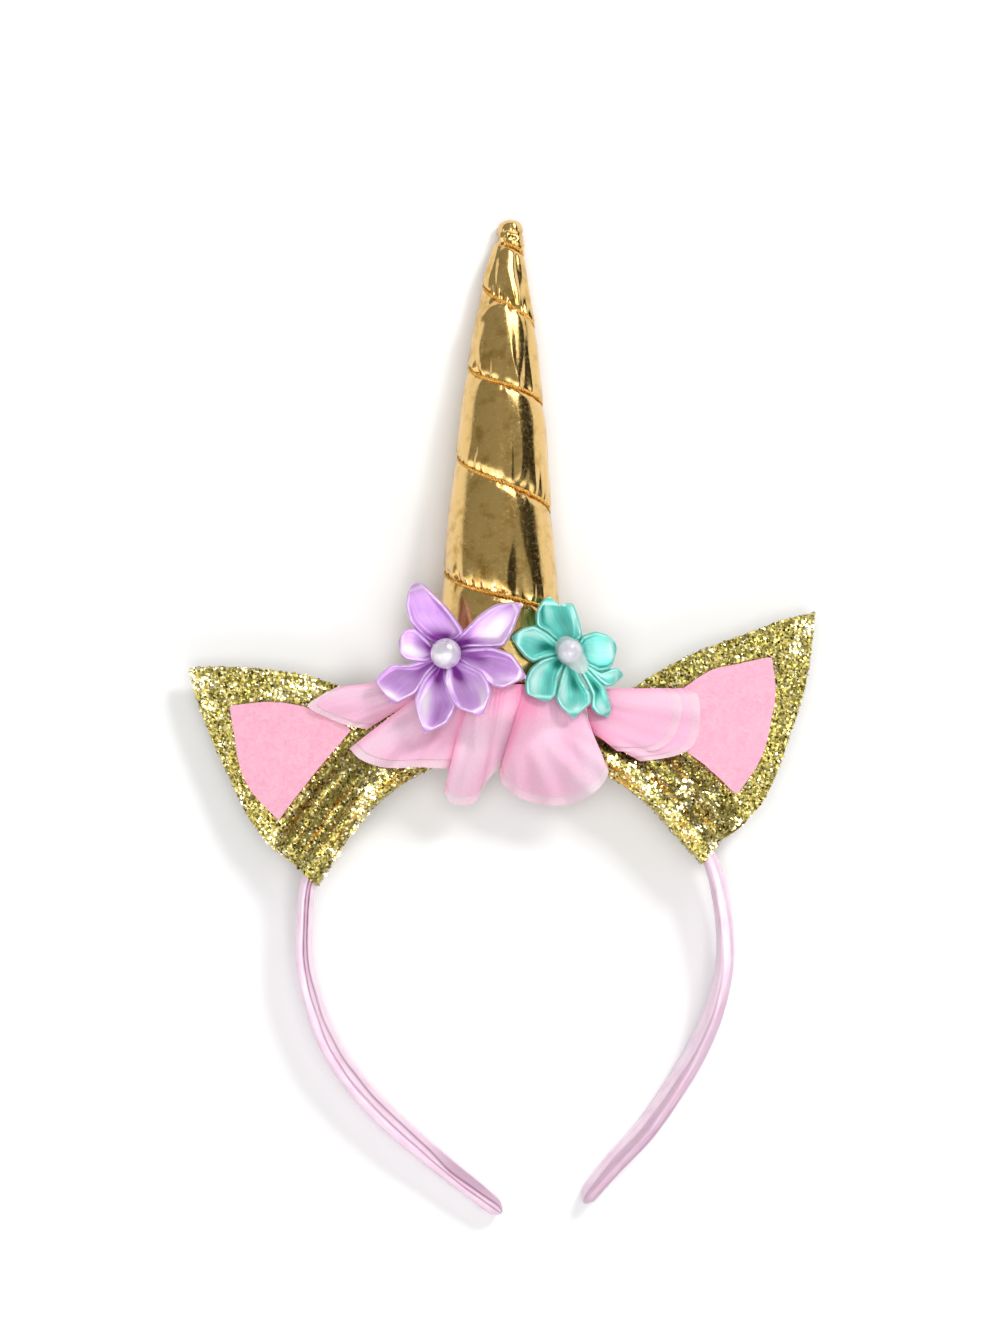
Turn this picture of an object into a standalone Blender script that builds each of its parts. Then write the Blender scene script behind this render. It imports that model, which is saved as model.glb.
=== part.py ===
"""Unicorn horn headband, lying on its back as it is laid down: horn and arm tips on the surface.

Sizes are in millimetres and are turned to metres where a mesh is made.
+X is the wearer's left-to-right, +Y runs from the band to the horn's tip and +Z is up.
"""
from math import atan2, ceil, cos, exp, hypot, log, pi, radians, sin, tan

import bmesh
import bpy
from mathutils import Vector

MM = 0.001

# Clearances and cloth
GAP = 0.35
CLOTH = 1.1
CHIFFON = 1.0
FELT = 1.0
SATIN = 0.9

# Band
BAND_CENTRE = (2.4, -65.7)
BAND_RADIUS = 60.0
BAND_WIDTH = 11.0
BAND_THICKNESS = 4.4
RIGHT_END = 23.4
LEFT_END = 162.8
RIGHT_SPREAD = 1.8
LEFT_SPREAD = 0.8
SPREAD_OVER = 15.0
ARC_STATIONS = 28
TIP_Y = -141.5
TIP_HEIGHT = 4.45
CROWN_HEIGHT = 17.0
BACK_SLOPE = (CROWN_HEIGHT - TIP_HEIGHT) / (BAND_CENTRE[1] + BAND_RADIUS - TIP_Y)

# Share of half the thickness (outward) and share of half the width
BAND_SECTION = [
    (1.00, 0.00), (0.94, 0.50), (0.65, 0.86), (0.10, 1.00), (-0.70, 0.95), (-1.00, 0.72),
    (-1.00, -0.72), (-0.70, -0.95), (0.10, -1.00), (0.65, -0.86), (0.94, -0.50),
]

# Arm stations from the ear to the tip: x, y, width, thickness, roll in degrees
LEFT_ARM = [
    (-56.7, -57.7, 11.0, 4.4, 2.0),
    (-56.8, -69.7, 11.0, 4.4, 4.0),
    (-54.3, -81.9, 11.0, 4.4, 7.0),
    (-49.2, -94.8, 10.8, 4.4, 11.0),
    (-41.2, -106.4, 10.4, 4.3, 15.0),
    (-30.9, -117.0, 10.0, 4.2, 17.0),
    (-17.8, -128.1, 9.2, 4.0, 17.0),
    (-6.1, -137.5, 8.4, 3.8, 15.0),
    (-2.4, -140.5, 6.8, 3.3, 15.0),
    (-0.6, -142.0, 3.6, 2.0, 15.0),
]
RIGHT_ARM = [
    (61.7, -50.6, 11.0, 4.4, 2.0),
    (63.1, -62.0, 11.0, 4.4, 4.0),
    (62.8, -72.0, 11.0, 4.4, 6.0),
    (60.0, -84.2, 11.0, 4.4, 9.0),
    (55.4, -95.3, 10.8, 4.4, 12.0),
    (49.4, -105.6, 10.4, 4.3, 15.0),
    (40.9, -117.8, 10.0, 4.2, 17.0),
    (32.3, -127.3, 9.2, 4.0, 17.0),
    (26.4, -134.3, 8.4, 3.8, 15.0),
    (24.2, -137.3, 6.8, 3.3, 15.0),
    (23.0, -139.0, 3.6, 2.0, 15.0),
]
ARM_STEPS = 2

# Horn sections from its foot to its tip: y, radius, x of the axis
HORN_SECTIONS = [
    (-3.2, 11.0, -1.9),
    (0.0, 15.4, -1.8),
    (4.0, 17.0, -1.7),
    (20.0, 17.2, -1.3),
    (34.0, 16.7, -1.0),
    (57.4, 14.8, -1.0),
    (74.5, 13.2, -0.4),
    (91.6, 11.5, -0.2),
    (108.7, 9.3, 0.3),
    (119.0, 7.6, 0.6),
    (125.8, 6.4, 0.5),
    (132.7, 5.0, 1.1),
    (136.0, 4.3, 1.5),
    (139.5, 3.4, 2.0),
    (142.4, 1.6, 1.9),
]
HORN_FOOT_RINGS = [0.0, -3.2]
HORN_TIP_RINGS = [140.6, 141.8, 142.4]
HORN_SPIRAL_LOW = 4.0
HORN_SPIRAL_HIGH = 139.0
HORN_COLUMNS = 20
HORN_SINK = 0.2
HORN_REST_FROM = 20.0
HORN_REST_TO = 139.5
SPARE_TURNS = 2
MERGE = 0.02

# The cord crosses the left side at even and the right side at odd half turns: half turn, y
CORD_CROSSINGS = [
    (-1.0, 139.4), (0.0, 136.9), (1.0, 132.4), (2.0, 123.3), (3.0, 111.6), (4.0, 99.6),
    (5.0, 89.1), (6.0, 74.2), (7.0, 58.6), (8.0, 41.2), (9.0, 28.4), (10.0, 14.5), (11.0, 2.0),
    (12.0, -12.0),
]
CORD_FIRST_TURN = 0.4
CORD_LAST_TURN = 9.8
CORD_DIAMETER = 1.0
CORD_GROOVE = 1.8
CORD_SEAT = 0.45

# The stuffed cloth between two cord turns: share of the turn, how far it stays under full size
SWELL = [(0.0, CORD_GROOVE), (0.045, 1.35), (0.11, 0.5), (0.22, 0.05), (0.5, 0.0), (0.78, 0.05),
         (0.89, 0.5), (0.955, 1.35)]

# Ears: angle round the band's centre, reach from the band's centreline
LEFT_EAR = [
    (161.9, 4.7), (159.6, 6.0), (157.4, 12.6), (153.8, 22.6), (148.6, 34.5), (144.3, 46.4),
    (140.5, 57.8), (139.0, 61.6), (135.1, 53.4), (130.1, 43.2), (123.7, 30.3), (118.0, 18.4),
    (113.0, 8.4), (110.0, 4.7),
]
RIGHT_EAR = [
    (73.0, 4.7), (69.0, 11.3), (64.9, 22.1), (60.6, 32.9), (56.8, 42.5), (53.3, 51.6),
    (50.4, 61.3), (47.9, 68.7), (45.8, 62.6), (41.9, 52.2), (38.0, 40.9), (33.4, 29.5),
    (28.6, 16.3), (27.0, 9.6), (25.7, 5.4), (24.4, 4.7),
]
EAR_JOIN = 14.0
EAR_LEAN = 0.15
EAR_BULGE = 0.3

# Felt panels: angle, near reach, far reach
LEFT_FELT = [
    (150.9, 15.4, 16.4), (148.8, 15.3, 26.3), (146.1, 15.0, 33.0), (142.5, 14.8, 39.2),
    (139.3, 14.9, 45.7), (136.6, 15.1, 41.6), (134.2, 15.3, 37.8), (130.2, 15.9, 29.6),
    (126.3, 17.0, 18.0),
]
RIGHT_FELT = [
    (60.2, 17.0, 18.0), (57.1, 15.8, 27.2), (54.6, 15.2, 36.9), (51.5, 14.8, 43.5),
    (48.4, 14.7, 50.9), (44.1, 15.5, 44.0), (41.6, 15.8, 38.3), (38.4, 16.4, 31.3),
    (36.4, 16.6, 25.0), (34.8, 17.0, 18.0),
]
FELT_STRIPS = 4

# How high cloth lies over the band: distance outward from its centreline, height over its middle
ROOF = [(-26.0, -6.0), (-16.0, -0.5), (-8.0, 5.4), (-3.0, 7.7), (2.0, 7.6), (4.0, 6.5), (9.0, 3.9),
        (14.0, 1.7), (60.0, -5.2)]
# How high cloth lies over the horn's foot: y, height of the ridge
RIDGE = [(-24.0, 13.0), (-12.0, 23.0), (-8.0, 26.0), (-4.0, 29.8), (0.0, 33.6), (3.0, 34.9), (9.0, 35.4)]
RIDGE_HALF = 6.0
RIDGE_FALL = 0.75
DRAPE_BLEND = 0.8
PLEAT_CENTRE = (0.4, 9.0)
PLEAT_STEP = 15.0
PLEAT_HEIGHT = 1.5
PLEAT_FROM = 12.0
PLEAT_FULL = 34.0
LAYER_STEP = 1.75
PETAL_ROWS = 5

# Chiffon petals: name, layer, two ends of the gather, then the hem from one side to the other
RUFFLE = [
    ("ruffle_left_outer", 0, [(-20.5, 11.8), (-20.0, 8.6)],
     [(-47.2, 8.7), (-51.7, 6.3), (-55.4, 3.3), (-50.6, 0.4), (-44.6, -2.1), (-38.4, -3.2)]),
    ("ruffle_left_inner", 0, [(-19.0, 7.8), (-7.6, 4.2)],
     [(-43.5, -8.7), (-40.6, -11.6), (-34.9, -13.8), (-29.5, -14.1), (-24.4, -13.8), (-19.4, -14.1),
      (-15.4, -14.1)]),
    ("ruffle_middle_left", 0, [(-6.2, 4.4), (5.4, 4.6)],
     [(-16.9, -20.7), (-15.0, -24.1), (-8.4, -24.4), (-5.6, -19.5), (-2.1, -14.8), (2.0, -13.4),
      (7.0, -12.7)]),
    ("ruffle_middle_right", 1, [(7.2, 2.0), (20.8, 1.6)],
     [(-1.2, -15.3), (-0.1, -18.9), (4.7, -22.7), (13.0, -24.9), (21.2, -23.8), (27.4, -19.2),
      (29.5, -15.0), (26.2, -8.5)]),
    ("ruffle_right_inner", 1, [(22.6, 8.2), (24.4, -3.2)],
     [(47.4, 8.4), (49.9, 6.0), (50.4, 1.6), (49.4, -2.7), (47.3, -6.4), (43.7, -8.8), (38.0, -9.5),
      (32.0, -9.3)]),
    ("ruffle_right_outer", 0, [(23.6, 6.6), (25.2, -4.6)],
     [(53.0, 8.6), (55.1, 6.0), (55.7, 1.6), (55.4, -3.0), (53.8, -7.8), (50.4, -10.0), (45.6, -11.4),
      (38.6, -12.2)]),
]

# Flowers: name, centre x and y, height at the centre, rise along +X, pearl diameter, pearl's seat
LAVENDER = ("lavender", -16.1, 18.1, 29.9, 0.38, 8.6, 5.2)
AQUA = ("aqua", 18.4, 18.7, 27.6, -0.42, 6.6, 4.8)
# Satin petals: angle, length, half width, lift of the tip
LAVENDER_PETALS = [
    (114.0, 21.4, 5.9, 3.5),
    (33.0, 24.6, 5.9, 0.5),
    (-14.5, 23.0, 5.2, 0.0),
    (-57.0, 19.8, 5.0, 5.5),
    (-105.0, 22.8, 5.0, 3.0),
    (-147.0, 22.6, 4.8, 2.5),
    (170.0, 14.6, 4.2, 6.0),
]
AQUA_PETALS = [
    (102.0, 15.8, 5.6, 1.5),
    (167.0, 15.6, 5.0, 0.6),
    (-128.0, 15.6, 5.0, 2.5),
    (-87.0, 18.3, 5.0, 2.2),
    (-54.0, 20.4, 4.4, 1.0),
    (-23.0, 16.8, 3.4, 2.5),
    (15.0, 13.6, 5.4, 3.5),
]
# Share of the length, share of the half width, share of the lift
PETAL_SHAPE = [(0.17, 0.30, 0.0), (0.30, 0.55, 0.10), (0.50, 0.90, 0.30), (0.70, 1.00, 0.55),
               (0.85, 0.90, 0.80), (0.94, 0.52, 0.94), (1.00, 0.10, 1.00)]
PETAL_ACROSS = [-1.0, -0.55, 0.0, 0.55, 1.0]
PETAL_CUP = 2.0
PETAL_ROOM = 0.9
GLUE_SIZE = (5.6, 4.4, 3.4)
GLUE_TURN = -55.0
GLUE_RISE = 0.6

# sRGB colour, roughness, metallic
FINISHES = {
    "pink_satin": ((0.95, 0.82, 0.89), 0.35, 0.0),
    "gold_film": ((0.78, 0.62, 0.30), 0.15, 1.0),
    "gold_cord": ((0.73, 0.56, 0.33), 0.5, 0.3),
    "gold_glitter": ((0.66, 0.58, 0.29), 0.3, 0.8),
    "pink_felt": ((0.98, 0.75, 0.84), 0.95, 0.0),
    "pink_chiffon": ((0.97, 0.74, 0.86), 0.8, 0.0),
    "lavender_satin": ((0.85, 0.68, 0.92), 0.35, 0.0),
    "aqua_satin": ((0.45, 0.84, 0.78), 0.35, 0.0),
    "pearl": ((0.94, 0.91, 0.95), 0.15, 0.0),
    "clear_glue": ((0.93, 0.95, 0.95), 0.1, 0.0),
}


def clear_scene():
    """Removes every object that the file holds."""
    for obj in list(bpy.data.objects):
        bpy.data.objects.remove(obj, do_unlink=True)


def material(name):
    """One principled material of a named finish."""
    colour, roughness, metallic = FINISHES[name]
    made = bpy.data.materials.new(name)
    made.use_nodes = True
    shader = made.node_tree.nodes["Principled BSDF"]
    linear = [c / 12.92 if c <= 0.04045 else ((c + 0.055) / 1.055) ** 2.4 for c in colour]
    shader.inputs["Base Color"].default_value = (*linear, 1.0)
    shader.inputs["Roughness"].default_value = roughness
    shader.inputs["Metallic"].default_value = metallic
    return made


def add_object(name, bm, finish, smooth_angle=40.0):
    """Makes one named object from a bmesh in millimetres."""
    bmesh.ops.scale(bm, vec=(MM, MM, MM), verts=bm.verts)
    mesh = bpy.data.meshes.new(name)
    bm.to_mesh(mesh)
    bm.free()
    mesh.shade_smooth()
    mesh.set_sharp_from_angle(angle=radians(smooth_angle))
    obj = bpy.data.objects.new(name, mesh)
    obj.data.materials.append(material(finish))
    bpy.context.scene.collection.objects.link(obj)
    return obj


def blend(low, high, share):
    """The value a share of the way from low to high."""
    return low + (high - low) * share


def ease(share):
    """A smooth step between 0 and 1."""
    share = min(1.0, max(0.0, share))
    return share * share * (3.0 - 2.0 * share)


def read_table(rows, key, column=1):
    """A smooth reading of a table's column at a key, straight past its two ends."""
    keys = [row[0] for row in rows]
    values = [row[column] for row in rows]
    if keys[0] > keys[-1]:
        keys.reverse()
        values.reverse()
    last = len(keys) - 1
    slopes = []
    for i in range(last + 1):
        a, b = max(0, i - 1), min(last, i + 1)
        slopes.append((values[b] - values[a]) / (keys[b] - keys[a]))
    if key <= keys[0]:
        return values[0] + (values[1] - values[0]) / (keys[1] - keys[0]) * (key - keys[0])
    if key >= keys[last]:
        rise = (values[last] - values[last - 1]) / (keys[last] - keys[last - 1])
        return values[last] + rise * (key - keys[last])
    i = max(k for k in range(last) if keys[k] <= key)
    span = keys[i + 1] - keys[i]
    s = (key - keys[i]) / span
    start = (1 + 2 * s) * (1 - s) ** 2 * values[i] + s * (1 - s) ** 2 * span * slopes[i]
    end = s * s * (3 - 2 * s) * values[i + 1] + s * s * (s - 1) * span * slopes[i + 1]
    return start + end


def mid_height(y):
    """Height of the band's middle: the band leans from the crown down to its tips."""
    return TIP_HEIGHT + BACK_SLOPE * (y - TIP_Y)


def band_radius(angle):
    """Distance of the band's centreline from its centre, a little wider at both ears' ends."""
    right = RIGHT_SPREAD * ease((RIGHT_END + SPREAD_OVER - angle) / SPREAD_OVER)
    left = LEFT_SPREAD * ease((angle - LEFT_END + SPREAD_OVER) / SPREAD_OVER)
    return BAND_RADIUS + right + left


def polar(angle, reach):
    """The plan point at an angle round the band's centre, out from its centreline."""
    radius = band_radius(angle) + reach
    turn = radians(angle)
    return BAND_CENTRE[0] + radius * cos(turn), BAND_CENTRE[1] + radius * sin(turn)


def outward(x, y):
    """How far a plan point lies outside the band's centreline."""
    dx, dy = x - BAND_CENTRE[0], y - BAND_CENTRE[1]
    angle = atan2(dy, dx) * 180.0 / pi
    return hypot(dx, dy) - band_radius(min(LEFT_END, max(RIGHT_END, angle)))


def loft(bm, rings, closed=True, cap=True):
    """Skins a list of rings of points and caps the two ends."""
    rows = [[bm.verts.new(point) for point in ring] for ring in rings]
    count = len(rows[0])
    sides = count if closed else count - 1
    for low, high in zip(rows, rows[1:]):
        for i in range(sides):
            j = (i + 1) % count
            bm.faces.new((low[i], low[j], high[j], high[i]))
    if cap:
        bm.faces.new(list(reversed(rows[0])))
        bm.faces.new(rows[-1])
    return rows


def smooth_rows(rows, steps):
    """Rows with smooth in-between rows added, the first and the last kept."""
    keyed = [(float(i), *row) for i, row in enumerate(rows)]
    made = []
    for i in range((len(rows) - 1) * steps + 1):
        made.append(tuple(read_table(keyed, i / steps, column + 1) for column in range(len(rows[0]))))
    return made


def band_stations():
    """Stations from the right tip over the crown to the left tip: x, y, width, thickness, roll."""
    arc = []
    for i in range(ARC_STATIONS + 1):
        angle = blend(RIGHT_END, LEFT_END, i / ARC_STATIONS)
        arc.append((*polar(angle, 0.0), BAND_WIDTH, BAND_THICKNESS, 0.0))
    right = smooth_rows([arc[0]] + RIGHT_ARM, ARM_STEPS)[1:]
    left = smooth_rows([arc[-1]] + LEFT_ARM, ARM_STEPS)[1:]
    return list(reversed(right)) + arc + left


def build_band():
    """The satin-covered band, whose inner face turns up towards its tips."""
    stations = band_stations()
    last = len(stations) - 1
    rings = []
    for i, (x, y, width, thickness, roll) in enumerate(stations):
        before, after = stations[max(0, i - 1)], stations[min(last, i + 1)]
        along = Vector((after[0] - before[0], after[1] - before[1], 0.0)).normalized()
        out = Vector((along.y, -along.x, 0.0))
        turn = radians(roll)
        face = out * cos(turn) - Vector((0, 0, sin(turn)))
        edge = out * sin(turn) + Vector((0, 0, cos(turn)))
        middle = Vector((x, y, mid_height(y)))
        rings.append([middle + face * a * thickness / 2 + edge * b * width / 2 for a, b in BAND_SECTION])
    bm = bmesh.new()
    loft(bm, rings)
    bmesh.ops.recalc_face_normals(bm, faces=bm.faces)
    return add_object("band", bm, "pink_satin")


def horn_axis(y):
    """Centre of the horn's section at y: the horn lies along its own underside."""
    resting = min(HORN_REST_TO, max(HORN_REST_FROM, y))
    return Vector((read_table(HORN_SECTIONS, y, 2), y, read_table(HORN_SECTIONS, resting) - HORN_SINK))


def horn_point(y, turn, under=0.0):
    """A point on the horn at y and at an angle from +X towards +Z, flattened on the surface below."""
    radius = read_table(HORN_SECTIONS, y) - under
    point = horn_axis(y) + Vector((radius * cos(turn), 0.0, radius * sin(turn)))
    point.z = max(point.z, 0.0)
    return point


def spiral_y(half_turn):
    """Where along the horn the cord lies after a number of half turns."""
    return read_table(CORD_CROSSINGS, half_turn)


def build_horn():
    """The stuffed horn: cloth that swells between the turns of a cord, closed at foot and tip."""
    bm = bmesh.new()
    rows_a_turn = len(SWELL)
    turns = ceil(CORD_CROSSINGS[-1][0] / 2) + SPARE_TURNS + 1
    grid = []
    for i in range(turns * rows_a_turn + 1):
        turn_number, row = divmod(i, rows_a_turn)
        share, under = SWELL[row]
        line = []
        for j in range(HORN_COLUMNS):
            around = j / HORN_COLUMNS
            y = spiral_y(2.0 * (turn_number - SPARE_TURNS + share + around))
            clamped = min(HORN_SPIRAL_HIGH, max(HORN_SPIRAL_LOW, y))
            held = 0.0 if clamped != y else under
            line.append(bm.verts.new(horn_point(clamped, pi - 2.0 * pi * around, held)))
        grid.append(line)
    for i in range(len(grid) - 1 - rows_a_turn):
        for j in range(HORN_COLUMNS):
            if j < HORN_COLUMNS - 1:
                right_low, right_high = grid[i][j + 1], grid[i + 1][j + 1]
            else:
                right_low, right_high = grid[i + rows_a_turn][0], grid[i + 1 + rows_a_turn][0]
            bm.faces.new((grid[i][j], right_low, right_high, grid[i + 1][j]))
    bmesh.ops.remove_doubles(bm, verts=bm.verts, dist=MERGE)
    bmesh.ops.dissolve_degenerate(bm, edges=bm.edges, dist=MERGE)
    loose = [v for v in bm.verts if not v.link_faces]
    bmesh.ops.delete(bm, geom=loose, context="VERTS")
    for start, ring_ys in ((HORN_SPIRAL_LOW, HORN_FOOT_RINGS), (HORN_SPIRAL_HIGH, HORN_TIP_RINGS)):
        edges = [e for e in bm.edges if e.is_boundary and abs(e.verts[0].co.y - start) < MERGE]
        for y in ring_ys:
            grown = bmesh.ops.extrude_edge_only(bm, edges=edges)["geom"]
            edges = [g for g in grown if isinstance(g, bmesh.types.BMEdge)]
            for v in {v for e in edges for v in e.verts}:
                centre = horn_axis(v.co.y)
                v.co = horn_point(y, atan2(v.co.z - centre.z, v.co.x - centre.x))
        bmesh.ops.contextual_create(bm, geom=edges)
    bmesh.ops.recalc_face_normals(bm, faces=bm.faces)
    return add_object("horn", bm, "gold_film")


def build_horn_cord():
    """The gold cord in its groove, from the horn's tip to its foot."""
    curve = bpy.data.curves.new("horn_cord", "CURVE")
    curve.dimensions = "3D"
    curve.bevel_depth = CORD_DIAMETER / 2 * MM
    curve.bevel_resolution = 1
    curve.use_fill_caps = True
    count = round((CORD_LAST_TURN - CORD_FIRST_TURN) / 2 * HORN_COLUMNS)
    spline = curve.splines.new("POLY")
    spline.points.add(count)
    under = CORD_GROOVE - CORD_SEAT - CORD_DIAMETER / 2
    for i, point in enumerate(spline.points):
        half_turn = blend(CORD_FIRST_TURN, CORD_LAST_TURN, i / count)
        y = spiral_y(half_turn)
        radius = read_table(HORN_SECTIONS, y) - under
        turn = pi - pi * half_turn
        place = horn_axis(y) + Vector((radius * cos(turn), 0.0, radius * sin(turn)))
        point.co = (*(place * MM), 1.0)
    obj = bpy.data.objects.new("horn_cord", curve)
    obj.data.materials.append(material("gold_cord"))
    bpy.context.scene.collection.objects.link(obj)
    return obj


def ear_height(y, out):
    """Height of the ear's middle surface: it leans back from the band towards its tip."""
    return mid_height(y) - EAR_LEAN * max(0.0, out - BAND_THICKNESS / 2 - GAP - CLOTH)


def ear_section(reach):
    """Outer and inner loop of an ear's section: distance outward and height over its middle."""
    half, wide = BAND_THICKNESS / 2, BAND_WIDTH / 2
    out, top = half + GAP + CLOTH, wide + GAP + CLOTH
    join = min(EAR_JOIN, reach - 0.5)
    slope = (blend(out, join, 0.5), blend(0.78 * top, CLOTH, 0.5) + EAR_BULGE * (join > 2 * out))
    outer = [(-out, 0.0), (-out, 0.75 * top), (-0.6 * half, top), (0.6 * half, top), (out, 0.78 * top),
             slope, (join, CLOTH), (blend(join, reach, 0.5), CLOTH), (reach, CLOTH)]
    inside, roof = half + GAP, wide + GAP
    end = max(inside + 0.2, join - 2.2)
    inner = [(-inside, 0.0), (-inside, 0.73 * roof), (-0.75 * half, 0.98 * roof), (0.2 * half, roof),
             (0.85 * half, 0.89 * roof), (inside, 0.66 * roof), (blend(inside, end, 0.45), 0.40 * roof),
             (end - 0.05, 0.08 * roof), (end, 0.04 * roof)]
    return [side + [(n, -h) for n, h in reversed(side[1:])] for side in (outer, inner)]


def build_ear(name, rows):
    """Glitter cloth folded round the band, its two layers meeting a little way out."""
    bm = bmesh.new()
    skins = []
    for loop in (0, 1):
        rings = []
        for angle, reach in rows:
            ring = []
            for out, height in ear_section(reach)[loop]:
                x, y = polar(angle, out)
                ring.append((x, y, ear_height(y, out) + height))
            rings.append(ring)
        skins.append(loft(bm, rings, cap=False))
    outer, inner = skins
    count = len(outer[0])
    for end in (0, -1):
        for i in range(count):
            j = (i + 1) % count
            bm.faces.new((outer[end][i], outer[end][j], inner[end][j], inner[end][i]))
    bmesh.ops.recalc_face_normals(bm, faces=bm.faces)
    return add_object(name, bm, "gold_glitter", 30.0)


def sheet(bm, grid):
    """Faces of a grid of points, turned so that they look up."""
    rows = loft(bm, grid, closed=False, cap=False)
    bm.normal_update()
    if sum(face.normal.z * face.calc_area() for face in bm.faces) < 0:
        bmesh.ops.reverse_faces(bm, faces=bm.faces)
    return rows


def thicken(obj, wall):
    """Gives a sheet its thickness on its upper side."""
    solid = obj.modifiers.new("wall", "SOLIDIFY")
    solid.thickness = wall * MM
    solid.offset = 1.0
    return obj


def build_felt(name, rows):
    """A felt panel that lies on the front of an ear."""
    grid = []
    for angle, near, far in rows:
        line = []
        for i in range(FELT_STRIPS + 1):
            out = blend(near, far, i / FELT_STRIPS)
            x, y = polar(angle, out)
            line.append((x, y, ear_height(y, out) + CLOTH + GAP))
        grid.append(line)
    bm = bmesh.new()
    sheet(bm, grid)
    return thicken(add_object(name, bm, "pink_felt"), FELT)


def drape_height(x, y):
    """Height of soft cloth that lies over the band, the ears and the horn's foot, with its pleats."""
    roof = mid_height(y) + read_table(ROOF, outward(x, y))
    aside = max(0.0, abs(x - read_table(HORN_SECTIONS, y, 2)) - RIDGE_HALF)
    tent = read_table(RIDGE, y) - RIDGE_FALL * aside
    high = max(roof, tent)
    over = high + DRAPE_BLEND * log(exp((roof - high) / DRAPE_BLEND) + exp((tent - high) / DRAPE_BLEND))
    dx, dy = x - PLEAT_CENTRE[0], y - PLEAT_CENTRE[1]
    grown = ease((hypot(dx, dy) - PLEAT_FROM) / (PLEAT_FULL - PLEAT_FROM))
    wave = 0.5 - 0.5 * cos(2.0 * pi * atan2(dx, -dy) * 180.0 / pi / PLEAT_STEP)
    return over + PLEAT_HEIGHT * grown * wave


def build_ruffle(name, layer, gather, hem):
    """One folded chiffon petal, from its short gather to its wavy hem."""
    columns = smooth_rows(hem, 2)
    grid = []
    for i, (hem_x, hem_y) in enumerate(columns):
        across = i / (len(columns) - 1)
        line = []
        for j in range(PETAL_ROWS + 1):
            down = j / PETAL_ROWS
            x = blend(blend(gather[0][0], gather[1][0], across), hem_x, down)
            y = blend(blend(gather[0][1], gather[1][1], across), hem_y, down)
            line.append((x, y, drape_height(x, y) + layer * LAYER_STEP))
        grid.append(line)
    bm = bmesh.new()
    sheet(bm, grid)
    return thicken(add_object(name, bm, "pink_chiffon"), CHIFFON)


def petal_room(petals, index):
    """Half the angle that a petal may fill between its two neighbours."""
    angles = [row[0] for row in petals]
    gaps = [abs((angles[index] - angle + 180.0) % 360.0 - 180.0) for angle in angles]
    return radians(min(gap for gap in gaps if gap > 0.0) / 2)


def build_satin_petal(flower, petals, index):
    """One folded ribbon petal: narrow at the pearl, cupped, and pointed at its tip."""
    name, cx, cy, height, rise = flower[:5]
    angle, length, half_width, lift = petals[index]
    turn, room = radians(angle), petal_room(petals, index)
    grid = []
    for share, width_share, lift_share in PETAL_SHAPE:
        along = share * length
        half = min(width_share * half_width, along * tan(room) * PETAL_ROOM)
        line = []
        for across in PETAL_ACROSS:
            side = across * half
            x = cx + along * cos(turn) - side * sin(turn)
            y = cy + along * sin(turn) + side * cos(turn)
            cup = PETAL_CUP * across * across * half / half_width
            line.append((x, y, height + rise * (x - cx) + lift * lift_share + cup))
        grid.append(line)
    bm = bmesh.new()
    sheet(bm, grid)
    return thicken(add_object(f"{name}_petal_{index + 1}", bm, f"{name}_satin"), SATIN)


def pearl_centre(flower):
    """Centre of a flower's pearl, which sits in the cup of its petals."""
    cx, cy, height = flower[1:4]
    return Vector((cx, cy, height + flower[6]))


def build_pearl(flower):
    """The round pearl at a flower's centre."""
    bm = bmesh.new()
    bmesh.ops.create_uvsphere(bm, u_segments=14, v_segments=9, radius=flower[5] / 2)
    bmesh.ops.translate(bm, vec=pearl_centre(flower), verts=bm.verts)
    return add_object(f"{flower[0]}_pearl", bm, "pearl")


def build_glue():
    """The clear drop that holds the aqua flower's pearl and shows beside it."""
    turn = radians(GLUE_TURN)
    centre = pearl_centre(AQUA)
    away = (AQUA[5] + GLUE_SIZE[1]) / 2 + GAP
    bm = bmesh.new()
    bmesh.ops.create_uvsphere(bm, u_segments=10, v_segments=6, radius=0.5)
    for v in bm.verts:
        wide, long, tall = v.co.x * GLUE_SIZE[1], v.co.y * GLUE_SIZE[0], v.co.z * GLUE_SIZE[2]
        v.co.x = centre.x + away * cos(turn) - long * sin(turn) + wide * cos(turn)
        v.co.y = centre.y + away * sin(turn) + long * cos(turn) + wide * sin(turn)
        v.co.z = centre.z + GLUE_RISE + tall
    return add_object("aqua_glue", bm, "clear_glue")


def main():
    """Builds every piece."""
    clear_scene()
    build_band()
    build_horn()
    build_horn_cord()
    build_ear("ear_left", LEFT_EAR)
    build_ear("ear_right", RIGHT_EAR)
    build_felt("ear_felt_left", LEFT_FELT)
    build_felt("ear_felt_right", RIGHT_FELT)
    for name, layer, gather, hem in RUFFLE:
        build_ruffle(name, layer, gather, hem)
    for flower, petals in ((LAVENDER, LAVENDER_PETALS), (AQUA, AQUA_PETALS)):
        for index in range(len(petals)):
            build_satin_petal(flower, petals, index)
        build_pearl(flower)
    build_glue()


main()
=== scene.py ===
"""The looks of a unicorn horn headband that lies on its back.

Cloth, foil, glitter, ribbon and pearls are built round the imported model. Sizes are in millimetres
and are turned to metres where a mesh is made. +X is to the right, +Y runs to the horn's tip, +Z is up.
"""
from __future__ import annotations

import logging
import random
from bisect import bisect_right
from collections import Counter
from contextlib import contextmanager
from dataclasses import dataclass, field
from enum import Enum
from math import atan2, ceil, cos, exp, hypot, log, pi, radians, sin, tanh
from typing import Any, Callable, Iterator, Sequence

import bpy
import numpy as np
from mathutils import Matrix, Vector, noise

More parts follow.
